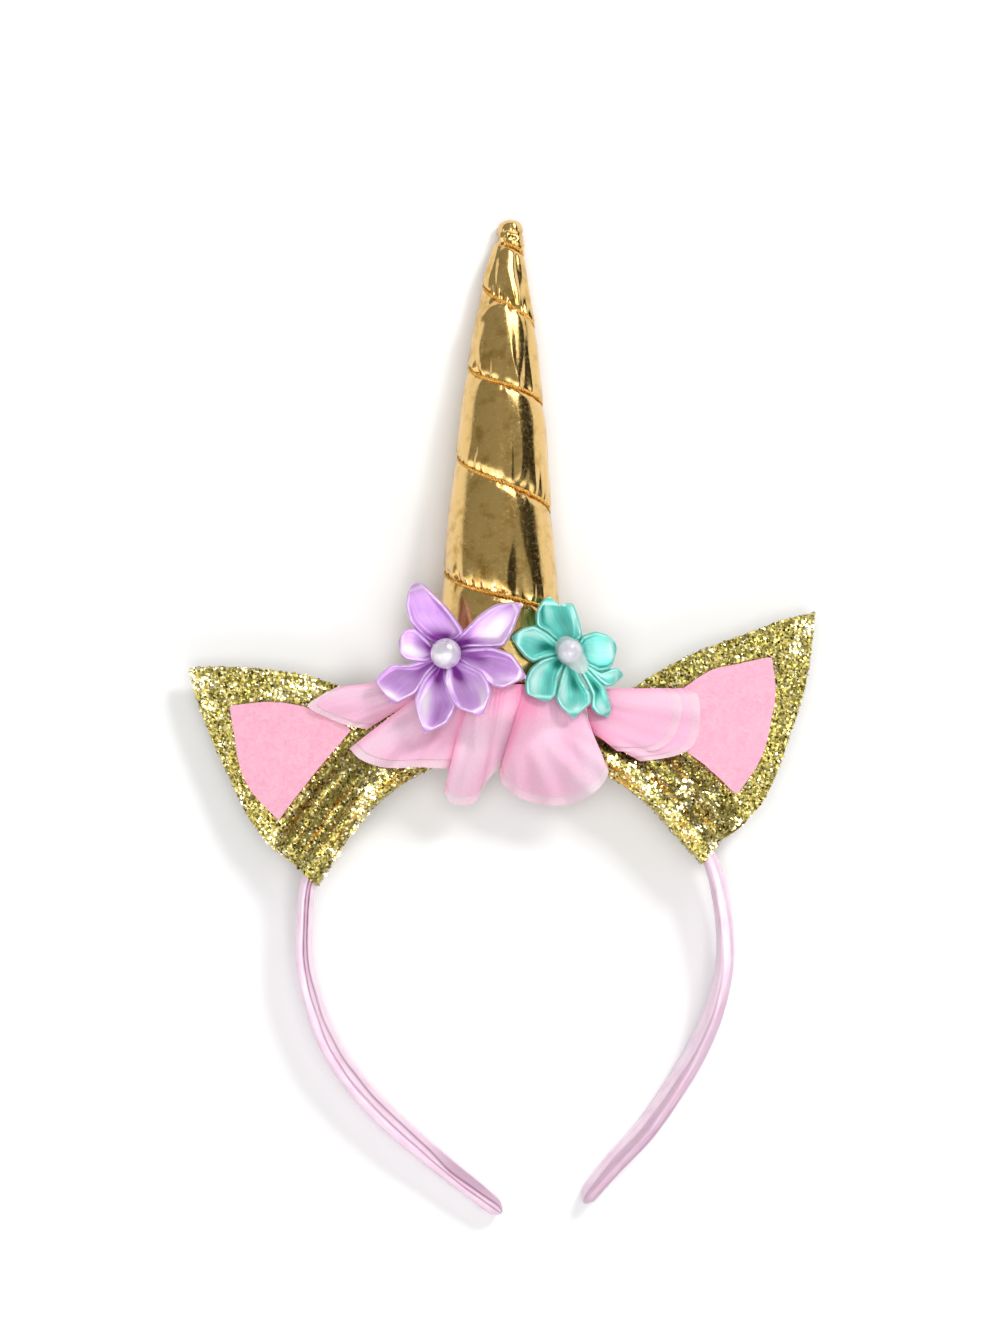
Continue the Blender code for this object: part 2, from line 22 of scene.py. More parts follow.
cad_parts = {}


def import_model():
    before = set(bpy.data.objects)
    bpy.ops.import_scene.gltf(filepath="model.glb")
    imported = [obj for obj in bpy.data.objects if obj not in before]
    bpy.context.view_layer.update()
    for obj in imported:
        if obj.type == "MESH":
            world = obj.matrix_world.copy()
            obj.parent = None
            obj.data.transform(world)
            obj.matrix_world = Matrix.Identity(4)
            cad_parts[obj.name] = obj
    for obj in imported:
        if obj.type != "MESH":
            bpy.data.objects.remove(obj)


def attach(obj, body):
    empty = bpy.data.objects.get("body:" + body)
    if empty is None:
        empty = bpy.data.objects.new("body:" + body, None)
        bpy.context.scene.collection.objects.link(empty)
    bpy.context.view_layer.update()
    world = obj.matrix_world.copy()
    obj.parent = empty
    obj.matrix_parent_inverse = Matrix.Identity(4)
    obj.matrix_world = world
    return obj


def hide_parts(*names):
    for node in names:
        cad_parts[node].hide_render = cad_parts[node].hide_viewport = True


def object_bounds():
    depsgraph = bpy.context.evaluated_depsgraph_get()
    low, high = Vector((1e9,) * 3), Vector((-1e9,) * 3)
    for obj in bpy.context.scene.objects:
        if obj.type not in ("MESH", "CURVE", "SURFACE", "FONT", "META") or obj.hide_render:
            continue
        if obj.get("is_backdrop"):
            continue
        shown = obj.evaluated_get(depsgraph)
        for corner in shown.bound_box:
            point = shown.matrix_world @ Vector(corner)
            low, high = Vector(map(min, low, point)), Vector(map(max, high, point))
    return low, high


MM = 0.001
BODY = "root"
REPORT = logging.getLogger("headband")
MIX_A, MIX_B, MIX_RESULT = 6, 7, 2

Piece = bpy.types.Object
Node = bpy.types.Node
Tree = bpy.types.NodeTree
Pair = tuple[float, float]
Point = tuple[float, float, float]
Placer = Callable[[float, float], Point]
Marker = Callable[[float, float], float]
Table = Sequence[Sequence[float]]


class Slot(Enum):
    """The record's material slots."""

    BAND = "pink_satin"
    FILM = "gold_film"
    CORD = "gold_cord"
    GLITTER = "gold_glitter"
    FELT = "pink_felt"
    CHIFFON = "pink_chiffon"
    LAVENDER = "lavender_satin"
    AQUA = "aqua_satin"
    PEARL = "pearl"
    GLUE = "clear_glue"


class Side(Enum):
    """Left or right as the picture shows it."""

    LEFT = "left"
    RIGHT = "right"


# Numbers and tables


def blend(low: float, high: float, share: float) -> float:
    """Returns the value a share of the way from low to high."""
    return low + (high - low) * share


def ease(share: float) -> float:
    """Returns a smooth step between 0 and 1."""
    share = min(1.0, max(0.0, share))
    return share * share * (3.0 - 2.0 * share)


def waves(x: float, y: float, z: float) -> float:
    """Returns smooth noise between about -1 and 1."""
    return noise.noise(Vector((x, y, z)))


class SmoothTable:
    """A smooth reading of a table of rows, straight past its two ends."""

    def __init__(self, rows: Table) -> None:
        """Keeps the rows in the order of their first column.

        Args:
            rows: the key and then the values of each row.
        """
        self.rows = sorted((tuple(map(float, row)) for row in rows), key=lambda row: row[0])
        self.keys = [row[0] for row in self.rows]
        last = len(self.rows) - 1
        self.slopes = []
        for i in range(last + 1):
            a, b = max(0, i - 1), min(last, i + 1)
            span = self.keys[b] - self.keys[a]
            self.slopes.append([(q - p) / span for p, q in zip(self.rows[a], self.rows[b])])

    def read(self, key: float, column: int = 1) -> float:
        """Reads one column.

        Args:
            key: where to read.
            column: which column.

        Returns:
            The value there.
        """
        keys, rows, last = self.keys, self.rows, len(self.keys) - 1
        if key <= keys[0] or key >= keys[last]:
            a, b, near = (0, 1, 0) if key <= keys[0] else (last - 1, last, last)
            rise = (rows[b][column] - rows[a][column]) / (keys[b] - keys[a])
            return rows[near][column] + rise * (key - keys[near])
        i = bisect_right(keys, key) - 1
        span = keys[i + 1] - keys[i]
        s = (key - keys[i]) / span
        first, second = rows[i][column], rows[i + 1][column]
        start = (1 + 2 * s) * (1 - s) ** 2 * first + s * (1 - s) ** 2 * span * self.slopes[i][column]
        end = s * s * (3 - 2 * s) * second + s * s * (s - 1) * span * self.slopes[i + 1][column]
        return start + end


def along_rows(rows: Table) -> tuple[SmoothTable, float]:
    """Turns a row of points to a table keyed by the distance along them.

    Args:
        rows: points, each with the same number of columns, the first two in the plane.

    Returns:
        The table and the whole distance.
    """
    keyed, run = [], 0.0
    for i, row in enumerate(rows):
        if i:
            run += max(1e-4, hypot(row[0] - rows[i - 1][0], row[1] - rows[i - 1][1]))
        keyed.append((run, *row))
    return SmoothTable(keyed), run


# Mesh work


def deselect() -> None:
    """Leaves nothing selected."""
    for obj in bpy.context.selected_objects:
        obj.select_set(False)


def work_on(obj: Piece) -> None:
    """Makes obj the one that the operators act on.

    Args:
        obj: the object.
    """
    deselect()
    obj.select_set(True)
    bpy.context.view_layer.objects.active = obj


@contextmanager
def edit_mode(obj: Piece, action: str = "", kind: str = "") -> Iterator[None]:
    """Works on a mesh in edit mode.

    Args:
        obj: the mesh's object.
        action: SELECT or DESELECT for all of it at first, or nothing to keep what is selected.
        kind: VERT or EDGE for what is selected, or nothing to leave it.

    Yields:
        Nothing; the mesh is in edit mode meanwhile.
    """
    work_on(obj)
    bpy.ops.object.mode_set(mode="EDIT")
    if kind:
        bpy.ops.mesh.select_mode(type=kind)
    if action:
        bpy.ops.mesh.select_all(action=action)
    yield
    bpy.ops.object.mode_set(mode="OBJECT")


def face_out(obj: Piece) -> None:
    """Turns a closed mesh's faces outwards."""
    with edit_mode(obj, "SELECT"):
        bpy.ops.mesh.normals_make_consistent(inside=False)


def join_all(pieces: Sequence[Piece], name: str) -> Piece:
    """Joins pieces to one object with a name.

    Args:
        pieces: what is joined, the first one stays.
        name: the new name.

    Returns:
        The joined object.
    """
    work_on(pieces[0])
    for other in pieces[1:]:
        other.select_set(True)
    bpy.ops.object.join()
    pieces[0].name = pieces[0].data.name = name
    return pieces[0]


def apply_modifier(obj: Piece, kind: str, **settings: Any) -> None:
    """Adds a modifier with its settings and applies it.

    Args:
        obj: the object.
        kind: the modifier's type.
        settings: its values by name.
    """
    work_on(obj)
    made = obj.modifiers.new(kind.lower(), kind)
    for key, value in settings.items():
        setattr(made, key, value)
    bpy.ops.object.modifier_apply(modifier=made.name)


def store_float(obj: Piece, name: str, domain: str, values: Sequence[float]) -> None:
    """Keeps one number for each point or face, for the material to read."""
    layer = obj.data.attributes.new(name, "FLOAT", domain)
    layer.data.foreach_set("value", np.array(values, np.float32))


def shaped_grid(name: str, columns: int, rows: int, place: Placer, texture: Placer,
                weld: bool = False, mark: Marker | None = None) -> Piece:
    """Adds a flat grid and lays it in shape, as a cut sheet is laid on a form.

    Args:
        name: the piece's name.
        columns: faces along u.
        rows: faces along v.
        place: gives the point in millimetres at u and v, both from 0 to 1.
        texture: gives the place in the cut cloth in millimetres at u and v.
        weld: whether edges that meet are joined and faces turned outwards.
        mark: gives the tone at u and v, from 0 for the deepest painted shade to 1, and 2 for the brightest
            painted highlight.

    Returns:
        The new object, at the origin.
    """
    deselect()
    bpy.ops.mesh.primitive_grid_add(x_subdivisions=columns, y_subdivisions=rows, size=2.0)
    obj = bpy.context.object
    obj.name = obj.data.name = name
    mesh = obj.data
    flat = [((v.co.x + 1) / 2, (v.co.y + 1) / 2) for v in mesh.vertices]
    spots = [texture(u, v) for u, v in flat]
    layer = mesh.uv_layers.active.data
    for loop in mesh.loops:
        spot = spots[loop.vertex_index]
        layer[loop.index].uv = (spot[0] * MM, spot[1] * MM)
    places = np.array([place(u, v) for u, v in flat], np.float32) * MM
    mesh.vertices.foreach_set("co", places.ravel())
    mesh.update()
    if mark:
        store_float(obj, "tone", "POINT", [mark(u, v) for u, v in flat])
    if weld:
        with edit_mode(obj, "SELECT"):
            bpy.ops.mesh.remove_doubles(threshold=0.02 * MM)
            bpy.ops.mesh.dissolve_degenerate(threshold=0.01 * MM)
        face_out(obj)
    elif sum(p.normal.z * p.area for p in mesh.polygons) < 0:
        mesh.flip_normals()
    bpy.ops.object.shade_smooth()
    return obj


def close_ends(obj: Piece) -> None:
    """Closes the open ends of a tube.

    Args:
        obj: the tube.
    """
    with edit_mode(obj, "DESELECT", "EDGE"):
        bpy.ops.mesh.select_non_manifold(extend=False, use_boundary=True, use_wire=False,
                                         use_multi_face=False, use_non_contiguous=False, use_verts=False)
        bpy.ops.mesh.edge_face_add()
    face_out(obj)
    bpy.ops.object.shade_smooth_by_angle(angle=radians(50))


def give_wall(obj: Piece, wall: float, offset: float = 1.0) -> None:
    """Gives a sheet its thickness.

    Args:
        obj: the sheet.
        wall: thickness in millimetres.
        offset: 1 for a wall on the sheet's upper side, -1 for one below it.
    """
    apply_modifier(obj, "SOLIDIFY", thickness=wall * MM, offset=offset, use_even_offset=False)
    bpy.ops.object.shade_smooth_by_angle(angle=radians(50))


def settle(obj: Piece, finish: Finish, nodes: Sequence[str] = ()) -> None:
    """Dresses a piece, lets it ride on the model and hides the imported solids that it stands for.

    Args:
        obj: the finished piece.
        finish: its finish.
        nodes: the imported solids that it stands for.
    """
    obj.data.materials.clear()
    obj.data.materials.append(finish.material())
    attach(obj, BODY)
    if nodes:
        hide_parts(*nodes)
    REPORT.info("%s: %d faces", obj.name, len(obj.data.polygons))


def flat_area(obj: Piece) -> float:
    """Returns the area of a sheet's faces in square metres."""
    return sum(p.area for p in obj.data.polygons)


# Finishes


def linear(code: str) -> tuple[float, float, float, float]:
    """Turns an sRGB hex colour to a linear one.

    Args:
        code: the colour as #rrggbb.

    Returns:
        Linear red, green, blue and an alpha of 1.
    """
    parts = [int(code[i:i + 2], 16) / 255 for i in (1, 3, 5)]
    made = [c / 12.92 if c <= 0.04045 else ((c + 0.055) / 1.055) ** 2.4 for c in parts]
    return (made[0], made[1], made[2], 1.0)


def set_node(tree: Tree, node: Node, settings: dict[Any, Any], links: dict[Any, Any]) -> Node:
    """Gives a node its settings and links.

    Args:
        tree: the node's tree.
        node: the node.
        settings: values by socket name or number, by attribute name, or a ramp's "stops"; hex colours
            are turned linear.
        links: what feeds this node's inputs, by name or number: a socket, or a node for its result.

    Returns:
        The node.
    """
    for key, value in settings.items():
        if isinstance(value, str) and value.startswith("#"):
            value = linear(value)
        if key == "stops":
            while len(node.color_ramp.elements) < len(value):
                node.color_ramp.elements.new(0.5)
            for element, (place, colour) in zip(node.color_ramp.elements, value):
                element.position = place
                element.color = linear(colour) if isinstance(colour, str) else (colour,) * 3 + (1.0,)
        elif isinstance(key, int) or key in node.inputs:
            node.inputs[key].default_value = value
        else:
            setattr(node, key, value)
    for key, source in links.items():
        if isinstance(source, Node):
            source = source.outputs[MIX_RESULT if source.bl_idname == "ShaderNodeMix" else 0]
        tree.links.new(source, node.inputs[key])
    return node


def add_node(tree: Tree, kind: str, settings: dict[Any, Any], links: dict[Any, Any]) -> Node:
    """Adds a node, named without its ShaderNode, with settings and links as set_node takes them."""
    return set_node(tree, tree.nodes.new("ShaderNode" + kind), settings, links)


@dataclass(frozen=True)
class Finish:
    """A surface finish, made once and shared by the pieces that have it."""

    name: str
    slot: Slot

    def material(self) -> bpy.types.Material:
        """Makes the finish's material on first use.

        Returns:
            The material.
        """
        known = bpy.data.materials.get(self.name)
        if known:
            return known
        made = bpy.data.materials.new(self.name)
        made.use_nodes = True
        self.paint(made.node_tree, made.node_tree.nodes["Principled BSDF"])
        return made

    def paint(self, tree: Tree, shader: Node) -> None:
        """Wires the finish's nodes; each finish has its own."""
        raise NotImplementedError


@dataclass(frozen=True)
class SatinRibbon(Finish):
    """Polyester satin ribbon, woven with long floats: a soft streaky shine along its length."""

    light: str
    base: str
    shade: str
    # deep is the colour of painted shade, bright the colour of painted highlights
    deep: str
    bright: str
    roughness: float
    thread: float = 0.45
    gloss: float = 0.4
    cloud: float = 6.0

    def paint(self, tree: Tree, shader: Node) -> None:
        """Streaks the colour along the ribbon and lifts fine threads; drawn coarser than real ones.

        Args:
            tree: the material's nodes.
            shader: its main shader.
        """
        spot = add_node(tree, "UVMap", {}, {})
        tone = add_node(tree, "Attribute", {"attribute_name": "tone"}, {}).outputs["Fac"]
        fine = 1 / (self.thread * MM)
        stretch = add_node(tree, "Mapping", {"Scale": (0.08 * fine, fine, 1.0)}, {"Vector": spot})
        threads = add_node(tree, "TexNoise", {"Scale": 1.0, "Detail": 3.0}, {"Vector": stretch})
        cloud = add_node(tree, "TexNoise", {"Scale": 1 / (self.cloud * MM), "Detail": 2.0}, {"Vector": spot})
        both = add_node(tree, "Math", {"operation": "ADD"}, {0: threads, 1: cloud})
        half = add_node(tree, "Math", {"operation": "MULTIPLY", 1: 0.5}, {0: both})
        colour = add_node(tree, "ValToRGB", {
            "stops": [(0.3, self.shade), (0.5, self.base), (0.72, self.light)]}, {0: half})
        # the tone mark paints shade with the deep colour below 1 and highlights with the bright colour above
        # 1
        folded = add_node(tree, "Mix", {"data_type": "RGBA", MIX_A: self.deep}, {0: tone, MIX_B: colour})
        over = add_node(tree, "Math", {"operation": "SUBTRACT", 1: 1.0}, {0: tone})
        colour = add_node(tree, "Mix", {"data_type": "RGBA", MIX_B: self.bright}, {0: over, MIX_A: folded})
        lift = add_node(tree, "Bump", {"Strength": 0.18, "Distance": 0.05 * MM}, {"Height": threads})
        set_node(tree, shader, {"Roughness": self.roughness, "Metallic": self.gloss, "Anisotropic": 0.45,
                                "Sheen Weight": 0.25, "Sheen Roughness": 0.35},
                 {"Base Color": colour, "Normal": lift})


@dataclass(frozen=True)
class FoilCloth(Finish):
    """Polyester knit with a gold polyurethane film: mirror gold with fine creases and dull specks."""

    base: str = "#e3bf7c"
    dull: str = "#b98f49"
    crease: float = 5.0
    speck: float = 0.9

    def paint(self, tree: Tree, shader: Node) -> None:
        """Bends the mirror a little with fine creases and dulls it in soft clouds.

        Args:
            tree: the material's nodes.
            shader: its main shader.
        """
        spot = add_node(tree, "TexCoord", {}, {}).outputs["Object"]
        wrinkle = add_node(tree, "TexNoise", {"Scale": 1 / (self.crease * MM), "Detail": 6.0,
                                              "Roughness": 0.62}, {"Vector": spot})
        specks = add_node(tree, "TexNoise", {"Scale": 1 / (self.speck * MM), "Detail": 2.0}, {"Vector": spot})
        colour = add_node(tree, "ValToRGB", {"stops": [(0.28, self.dull), (0.5, self.base)]}, {0: wrinkle})
        rough = add_node(tree, "MapRange", {1: 0.35, 2: 0.75, 3: 0.13, 4: 0.3}, {0: specks})
        lift = add_node(tree, "Bump", {"Strength": 0.25, "Distance": 0.25 * MM}, {"Height": wrinkle})
        set_node(tree, shader, {"Metallic": 1.0}, {"Base Color": colour, "Roughness": rough, "Normal": lift})


@dataclass(frozen=True)
class MetallicYarn(Finish):
    """Gold lurex yarn twisted in two plies: short glints on a brown-gold thread."""

    base: str = "#edb650"
    dark: str = "#7a4a14"
    filament: float = 0.4

    def paint(self, tree: Tree, shader: Node) -> None:
        """Mixes dark and bright filaments in fine spots.

        Args:
            tree: the material's nodes.
            shader: its main shader.
        """
        spot = add_node(tree, "TexCoord", {}, {}).outputs["Object"]
        fleck = add_node(tree, "TexNoise", {"Scale": 1 / (self.filament * MM), "Detail": 3.0},
                         {"Vector": spot})
        colour = add_node(tree, "ValToRGB", {"stops": [(0.36, self.dark), (0.48, self.base)]}, {0: fleck})
        set_node(tree, shader, {"Metallic": 0.35, "Roughness": 0.38}, {"Base Color": colour})


@dataclass(frozen=True)
class GlitterCloth(Finish):
    """Cloth with glued polyester glitter: each little flake is a mirror that tips its own way."""

    flake: float = 0.62
    dark: str = "#6b6029"
    base: str = "#bcad5f"
    light: str = "#fbf4d0"
    # colour of the painted shade streaks along the fold
    fold_shade: str = "#b5761f"
    tilt: float = 0.5

    def paint(self, tree: Tree, shader: Node) -> None:
        """Gives cells as large as the flakes a tint and a normal each, and orange-brown streaks of painted
        shade along the fold.

        Args:
            tree: the material's nodes.
            shader: its main shader.
        """
        spot = add_node(tree, "TexCoord", {}, {}).outputs["Object"]
        voronoi = add_node(tree, "TexVoronoi", {"Scale": 1 / (self.flake * MM)}, {"Vector": spot})
        cells = voronoi.outputs["Color"]
        parts = add_node(tree, "SeparateColor", {}, {0: cells})
        colour = add_node(tree, "ValToRGB", {
            "stops": [(0.0, self.dark), (0.1, self.dark), (0.3, self.base), (0.86, self.base),
                      (0.97, self.light)]}, {0: parts})
        centred = add_node(tree, "VectorMath", {"operation": "SUBTRACT", 1: (0.5, 0.5, 0.5)}, {0: cells})
        tipped = add_node(tree, "VectorMath", {"operation": "SCALE", "Scale": self.tilt}, {0: centred})
        shape = add_node(tree, "NewGeometry", {}, {}).outputs["Normal"]
        summed = add_node(tree, "VectorMath", {"operation": "ADD"}, {0: tipped, 1: shape})
        unit = add_node(tree, "VectorMath", {"operation": "NORMALIZE"}, {0: summed})
        cut = add_node(tree, "UVMap", {}, {})
        along = add_node(tree, "Mapping", {"Scale": (45.0, 560.0, 1.0)}, {"Vector": cut})
        streak = add_node(tree, "TexNoise", {"Scale": 1.0, "Detail": 2.0}, {"Vector": along})
        # painted shade: orange-brown streaks where the mark marks the fold
        fold_shade_streaks = add_node(tree, "MapRange", {1: 0.53, 2: 0.62}, {0: streak})
        tone = add_node(tree, "Attribute", {"attribute_name": "tone"}, {}).outputs["Fac"]
        share = add_node(tree, "Math", {"operation": "MULTIPLY"}, {0: fold_shade_streaks, 1: tone})
        painted_fold_shade = add_node(tree, "Mix", {"data_type": "RGBA", MIX_B: self.fold_shade}, {0: share, MIX_A: colour})
        set_node(tree, shader, {"Metallic": 0.9, "Roughness": 0.28}, {"Base Color": painted_fold_shade, "Normal": unit})


@dataclass(frozen=True)
class GlitterFlake(Finish):
    """Loose glitter flakes, cut from metallised polyester film: flat mirrors in gold tints."""

    dark: str = "#5c5222"
    base: str = "#b9aa5c"
    light: str = "#f7efcf"

    def paint(self, tree: Tree, shader: Node) -> None:
        """Reads each flake's own tint, stored on the mesh; the light tints of flakes in the flash places are
        painted highlight.

        Args:
            tree: the material's nodes.
            shader: its main shader.
        """
        tint = add_node(tree, "Attribute", {"attribute_name": "tint"}, {}).outputs["Fac"]
        colour = add_node(tree, "ValToRGB", {
            "stops": [(0.0, self.dark), (0.12, self.dark), (0.28, self.base), (0.8, self.base),
                      (0.95, self.light)]}, {0: tint})
        set_node(tree, shader, {"Metallic": 1.0, "Roughness": 0.2}, {"Base Color": colour})


@dataclass(frozen=True)
class PressedFelt(Finish):
    """Pressed polyester felt: matte, with short crossing fibres and a soft edge."""

    light: str = "#fbc1d2"
    base: str = "#f7b4ca"
    shade: str = "#eea5be"
    # size of a tangle in millimetres, how much it is bent
    tangles: Table = ((1.0, 3.0), (2.5, 1.5))

    def paint(self, tree: Tree, shader: Node) -> None:
        """Lays two layers of bent noise over each other, for fibres that cross.

        Args:
            tree: the material's nodes.
            shader: its main shader.
        """
        spot = add_node(tree, "TexCoord", {}, {}).outputs["Object"]
        layers = [add_node(tree, "TexNoise", {"Scale": 1 / (size * MM), "Detail": 4.0, "Distortion": bend},
                           {"Vector": spot}) for size, bend in self.tangles]
        both = add_node(tree, "Math", {"operation": "ADD"}, {0: layers[0], 1: layers[1]})
        half = add_node(tree, "Math", {"operation": "MULTIPLY", 1: 0.5}, {0: both})
        colour = add_node(tree, "ValToRGB", {
            "stops": [(0.34, self.shade), (0.5, self.base), (0.66, self.light)]}, {0: half})
        lift = add_node(tree, "Bump", {"Strength": 0.5, "Distance": 0.2 * MM}, {"Height": half})
        set_node(tree, shader, {"Roughness": 0.95, "Sheen Weight": 0.35, "Specular IOR Level": 0.15},
                 {"Base Color": colour, "Normal": lift})


@dataclass(frozen=True)
class Chiffon(Finish):
    """Polyester chiffon, a thin crepe weave: one layer is pale and half clear, two are pinker."""

    light: str = "#ffd9ec"
    base: str = "#ffc6e1"
    shade: str = "#fa94bd"
    thread: float = 0.35
    cover: float = 0.88
    cloud: float = 16.0

    def paint(self, tree: Tree, shader: Node) -> None:
        """Fine crepe grain, drawn coarser than real; a little light comes through between the threads.

        Args:
            tree: the material's nodes.
            shader: its main shader.
        """
        spot = add_node(tree, "UVMap", {}, {})
        fine = self.thread * MM
        grain = []
        for wide, tall in ((0.35, 1.0), (1.0, 0.35)):
            laid = add_node(tree, "Mapping", {"Scale": (wide / fine, tall / fine, 1.0)}, {"Vector": spot})
            grain.append(add_node(tree, "TexNoise", {"Scale": 1.0, "Detail": 1.0}, {"Vector": laid}))
        weave = add_node(tree, "Math", {"operation": "MULTIPLY"}, {0: grain[0], 1: grain[1]})
        cloud = add_node(tree, "TexNoise", {"Scale": 1 / (self.cloud * MM), "Detail": 0.0}, {"Vector": spot})
        colour = add_node(tree, "ValToRGB", {"stops": [(0.3, self.base), (0.7, self.light)]}, {0: cloud})
        # the tone mark mixes in the shade colour as painted shade
        tone = add_node(tree, "Attribute", {"attribute_name": "tone"}, {}).outputs["Fac"]
        painted_shade_mix = add_node(tree, "Mix", {"data_type": "RGBA", MIX_A: self.shade}, {0: tone, MIX_B: colour})
        cover = add_node(tree, "MapRange", {1: 0.12, 2: 0.42, 3: self.cover - 0.04, 4: self.cover + 0.04},
                         {0: weave})
        lift = add_node(tree, "Bump", {"Strength": 0.12, "Distance": 0.06 * MM}, {"Height": weave})
        set_node(tree, shader, {"Roughness": 0.7, "Sheen Weight": 0.5, "Specular IOR Level": 0.25},
                 {"Base Color": painted_shade_mix, "Alpha": cover, "Normal": lift})


@dataclass(frozen=True)
class PearlCoat(Finish):
    """Moulded plastic bead with a pearl lacquer: milky, glossy, with a faint pink and blue bloom."""

    base: str = "#e4dde7"
    bloom: str = "#cac1d1"
    cloud: float = 5.0

    def paint(self, tree: Tree, shader: Node) -> None:
        """Puts a slow cloud of bloom under a clear coat.

        Args:
            tree: the material's nodes.
            shader: its main shader.
        """
        spot = add_node(tree, "TexCoord", {}, {}).outputs["Object"]
        cloud = add_node(tree, "TexNoise", {"Scale": 1 / (self.cloud * MM), "Detail": 1.0}, {"Vector": spot})
        colour = add_node(tree, "ValToRGB", {"stops": [(0.35, self.bloom), (0.65, self.base)]}, {0: cloud})
        set_node(tree, shader, {"Roughness": 0.25, "Metallic": 0.25, "Coat Weight": 1.0,
                                "Coat Roughness": 0.14, "Sheen Weight": 0.2}, {"Base Color": colour})


@dataclass(frozen=True)
class MeltGlue(Finish):
    """Clear hot-melt glue that has set: glassy, a little milky, with a wavy skin."""

    base: str = "#ffffff"
    wave: float = 2.5

    def paint(self, tree: Tree, shader: Node) -> None:
        """Makes it half clear, with soft waves in the skin; ethylene-vinyl acetate bends light by 1.49.

        Args:
            tree: the material's nodes.
            shader: its main shader.
        """
        spot = add_node(tree, "TexCoord", {}, {}).outputs["Object"]
        wave = add_node(tree, "TexNoise", {"Scale": 1 / (self.wave * MM), "Detail": 2.0}, {"Vector": spot})
        rough = add_node(tree, "MapRange", {3: 0.04, 4: 0.16}, {0: wave})
        lift = add_node(tree, "Bump", {"Strength": 0.3, "Distance": 0.3 * MM}, {"Height": wave})
        set_node(tree, shader, {"Base Color": self.base, "Alpha": 0.34, "IOR": 1.49},
                 {"Roughness": rough, "Normal": lift})


@dataclass(frozen=True)
class StudioPaper(Finish):
    """Matte white paper that the headband is laid on."""

    base: str = "#fafafa"

    def paint(self, tree: Tree, shader: Node) -> None:
        """Plain white without shine."""
        set_node(tree, shader, {"Base Color": self.base, "Roughness": 1.0, "Specular IOR Level": 0.0}, {})


PINK_SATIN = SatinRibbon("pink_satin_ribbon", Slot.BAND, "#fff1fb", "#fbdff1", "#f3cbe3", "#a3708f",
                         "#ffffff", 0.38, thread=0.6, gloss=0.1)
LAVENDER_SATIN = SatinRibbon("lavender_satin_ribbon", Slot.LAVENDER, "#e4bff3", "#d6a5e8", "#c48cd9",
                             "#7a2f8c", "#fff2ff", 0.42)
AQUA_SATIN = SatinRibbon("aqua_satin_ribbon", Slot.AQUA, "#98ebe2", "#6fd8cc", "#4fc6b7", "#0b7d6e",
                         "#dcfdf9", 0.42)
GOLD_FOIL = FoilCloth("gold_film_on_knit", Slot.FILM)
GOLD_YARN = MetallicYarn("gold_lurex_yarn", Slot.CORD)
GOLD_GLITTER = GlitterCloth("gold_glitter_cloth", Slot.GLITTER)
GOLD_FLAKES = GlitterFlake("gold_glitter_flakes", Slot.GLITTER)
PINK_FELT = PressedFelt("pink_pressed_felt", Slot.FELT)
PINK_CHIFFON = Chiffon("pink_chiffon_crepe", Slot.CHIFFON)
THIN_CHIFFON = Chiffon("pink_chiffon_crepe_thin", Slot.CHIFFON, "#ffe8f2", "#ffdcea", cover=0.72)
PEARL_BEAD = PearlCoat("pearl_lacquer_bead", Slot.PEARL)
CLEAR_GLUE = MeltGlue("clear_hot_melt_glue", Slot.GLUE)
WHITE_PAPER = StudioPaper("white_studio_paper", Slot.FELT)


# Forms that several pieces share


@dataclass
class BandPlan:
    """Where the band runs and how it leans."""

    centre: Pair = (2.4, -65.7)
    radius: float = 60.0
    width: float = 11.0
    thickness: float = 4.4
    right_end: float = 23.4
    left_end: float = 162.8
    right_spread: float = 1.8
    left_spread: float = 0.8
    spread_over: float = 15.0
    tip_y: float = -141.5
    tip_height: float = 4.45
    crown_height: float = 17.0

    def mid_height(self, y: float) -> float:
        """Returns the height of the band's middle at y."""
        slope = (self.crown_height - self.tip_height) / (self.centre[1] + self.radius - self.tip_y)
        return self.tip_height + slope * (y - self.tip_y)

    def band_radius(self, angle: float) -> float:
        """Measures how far the centreline lies from the centre.

        Args:
            angle: place on the band, in degrees round the centre.

        Returns:
            The distance in millimetres.
        """
        right = self.right_spread * ease((self.right_end + self.spread_over - angle) / self.spread_over)
        left = self.left_spread * ease((angle - self.left_end + self.spread_over) / self.spread_over)
        return self.radius + right + left

    def polar(self, angle: float, reach: float) -> Pair:
        """Returns the plan point at an angle in degrees, out from the centreline."""
        radius, turn = self.band_radius(angle) + reach, radians(angle)
        return self.centre[0] + radius * cos(turn), self.centre[1] + radius * sin(turn)

    def outward(self, x: float, y: float) -> float:
        """Measures how far a plan point lies outside the centreline.

        Args:
            x: place across.
            y: place along the horn's way.

        Returns:
            The distance, below zero inside.
        """
        dx, dy = x - self.centre[0], y - self.centre[1]
        angle = min(self.left_end, max(self.right_end, atan2(dy, dx) * 180.0 / pi))
        return hypot(dx, dy) - self.band_radius(angle)


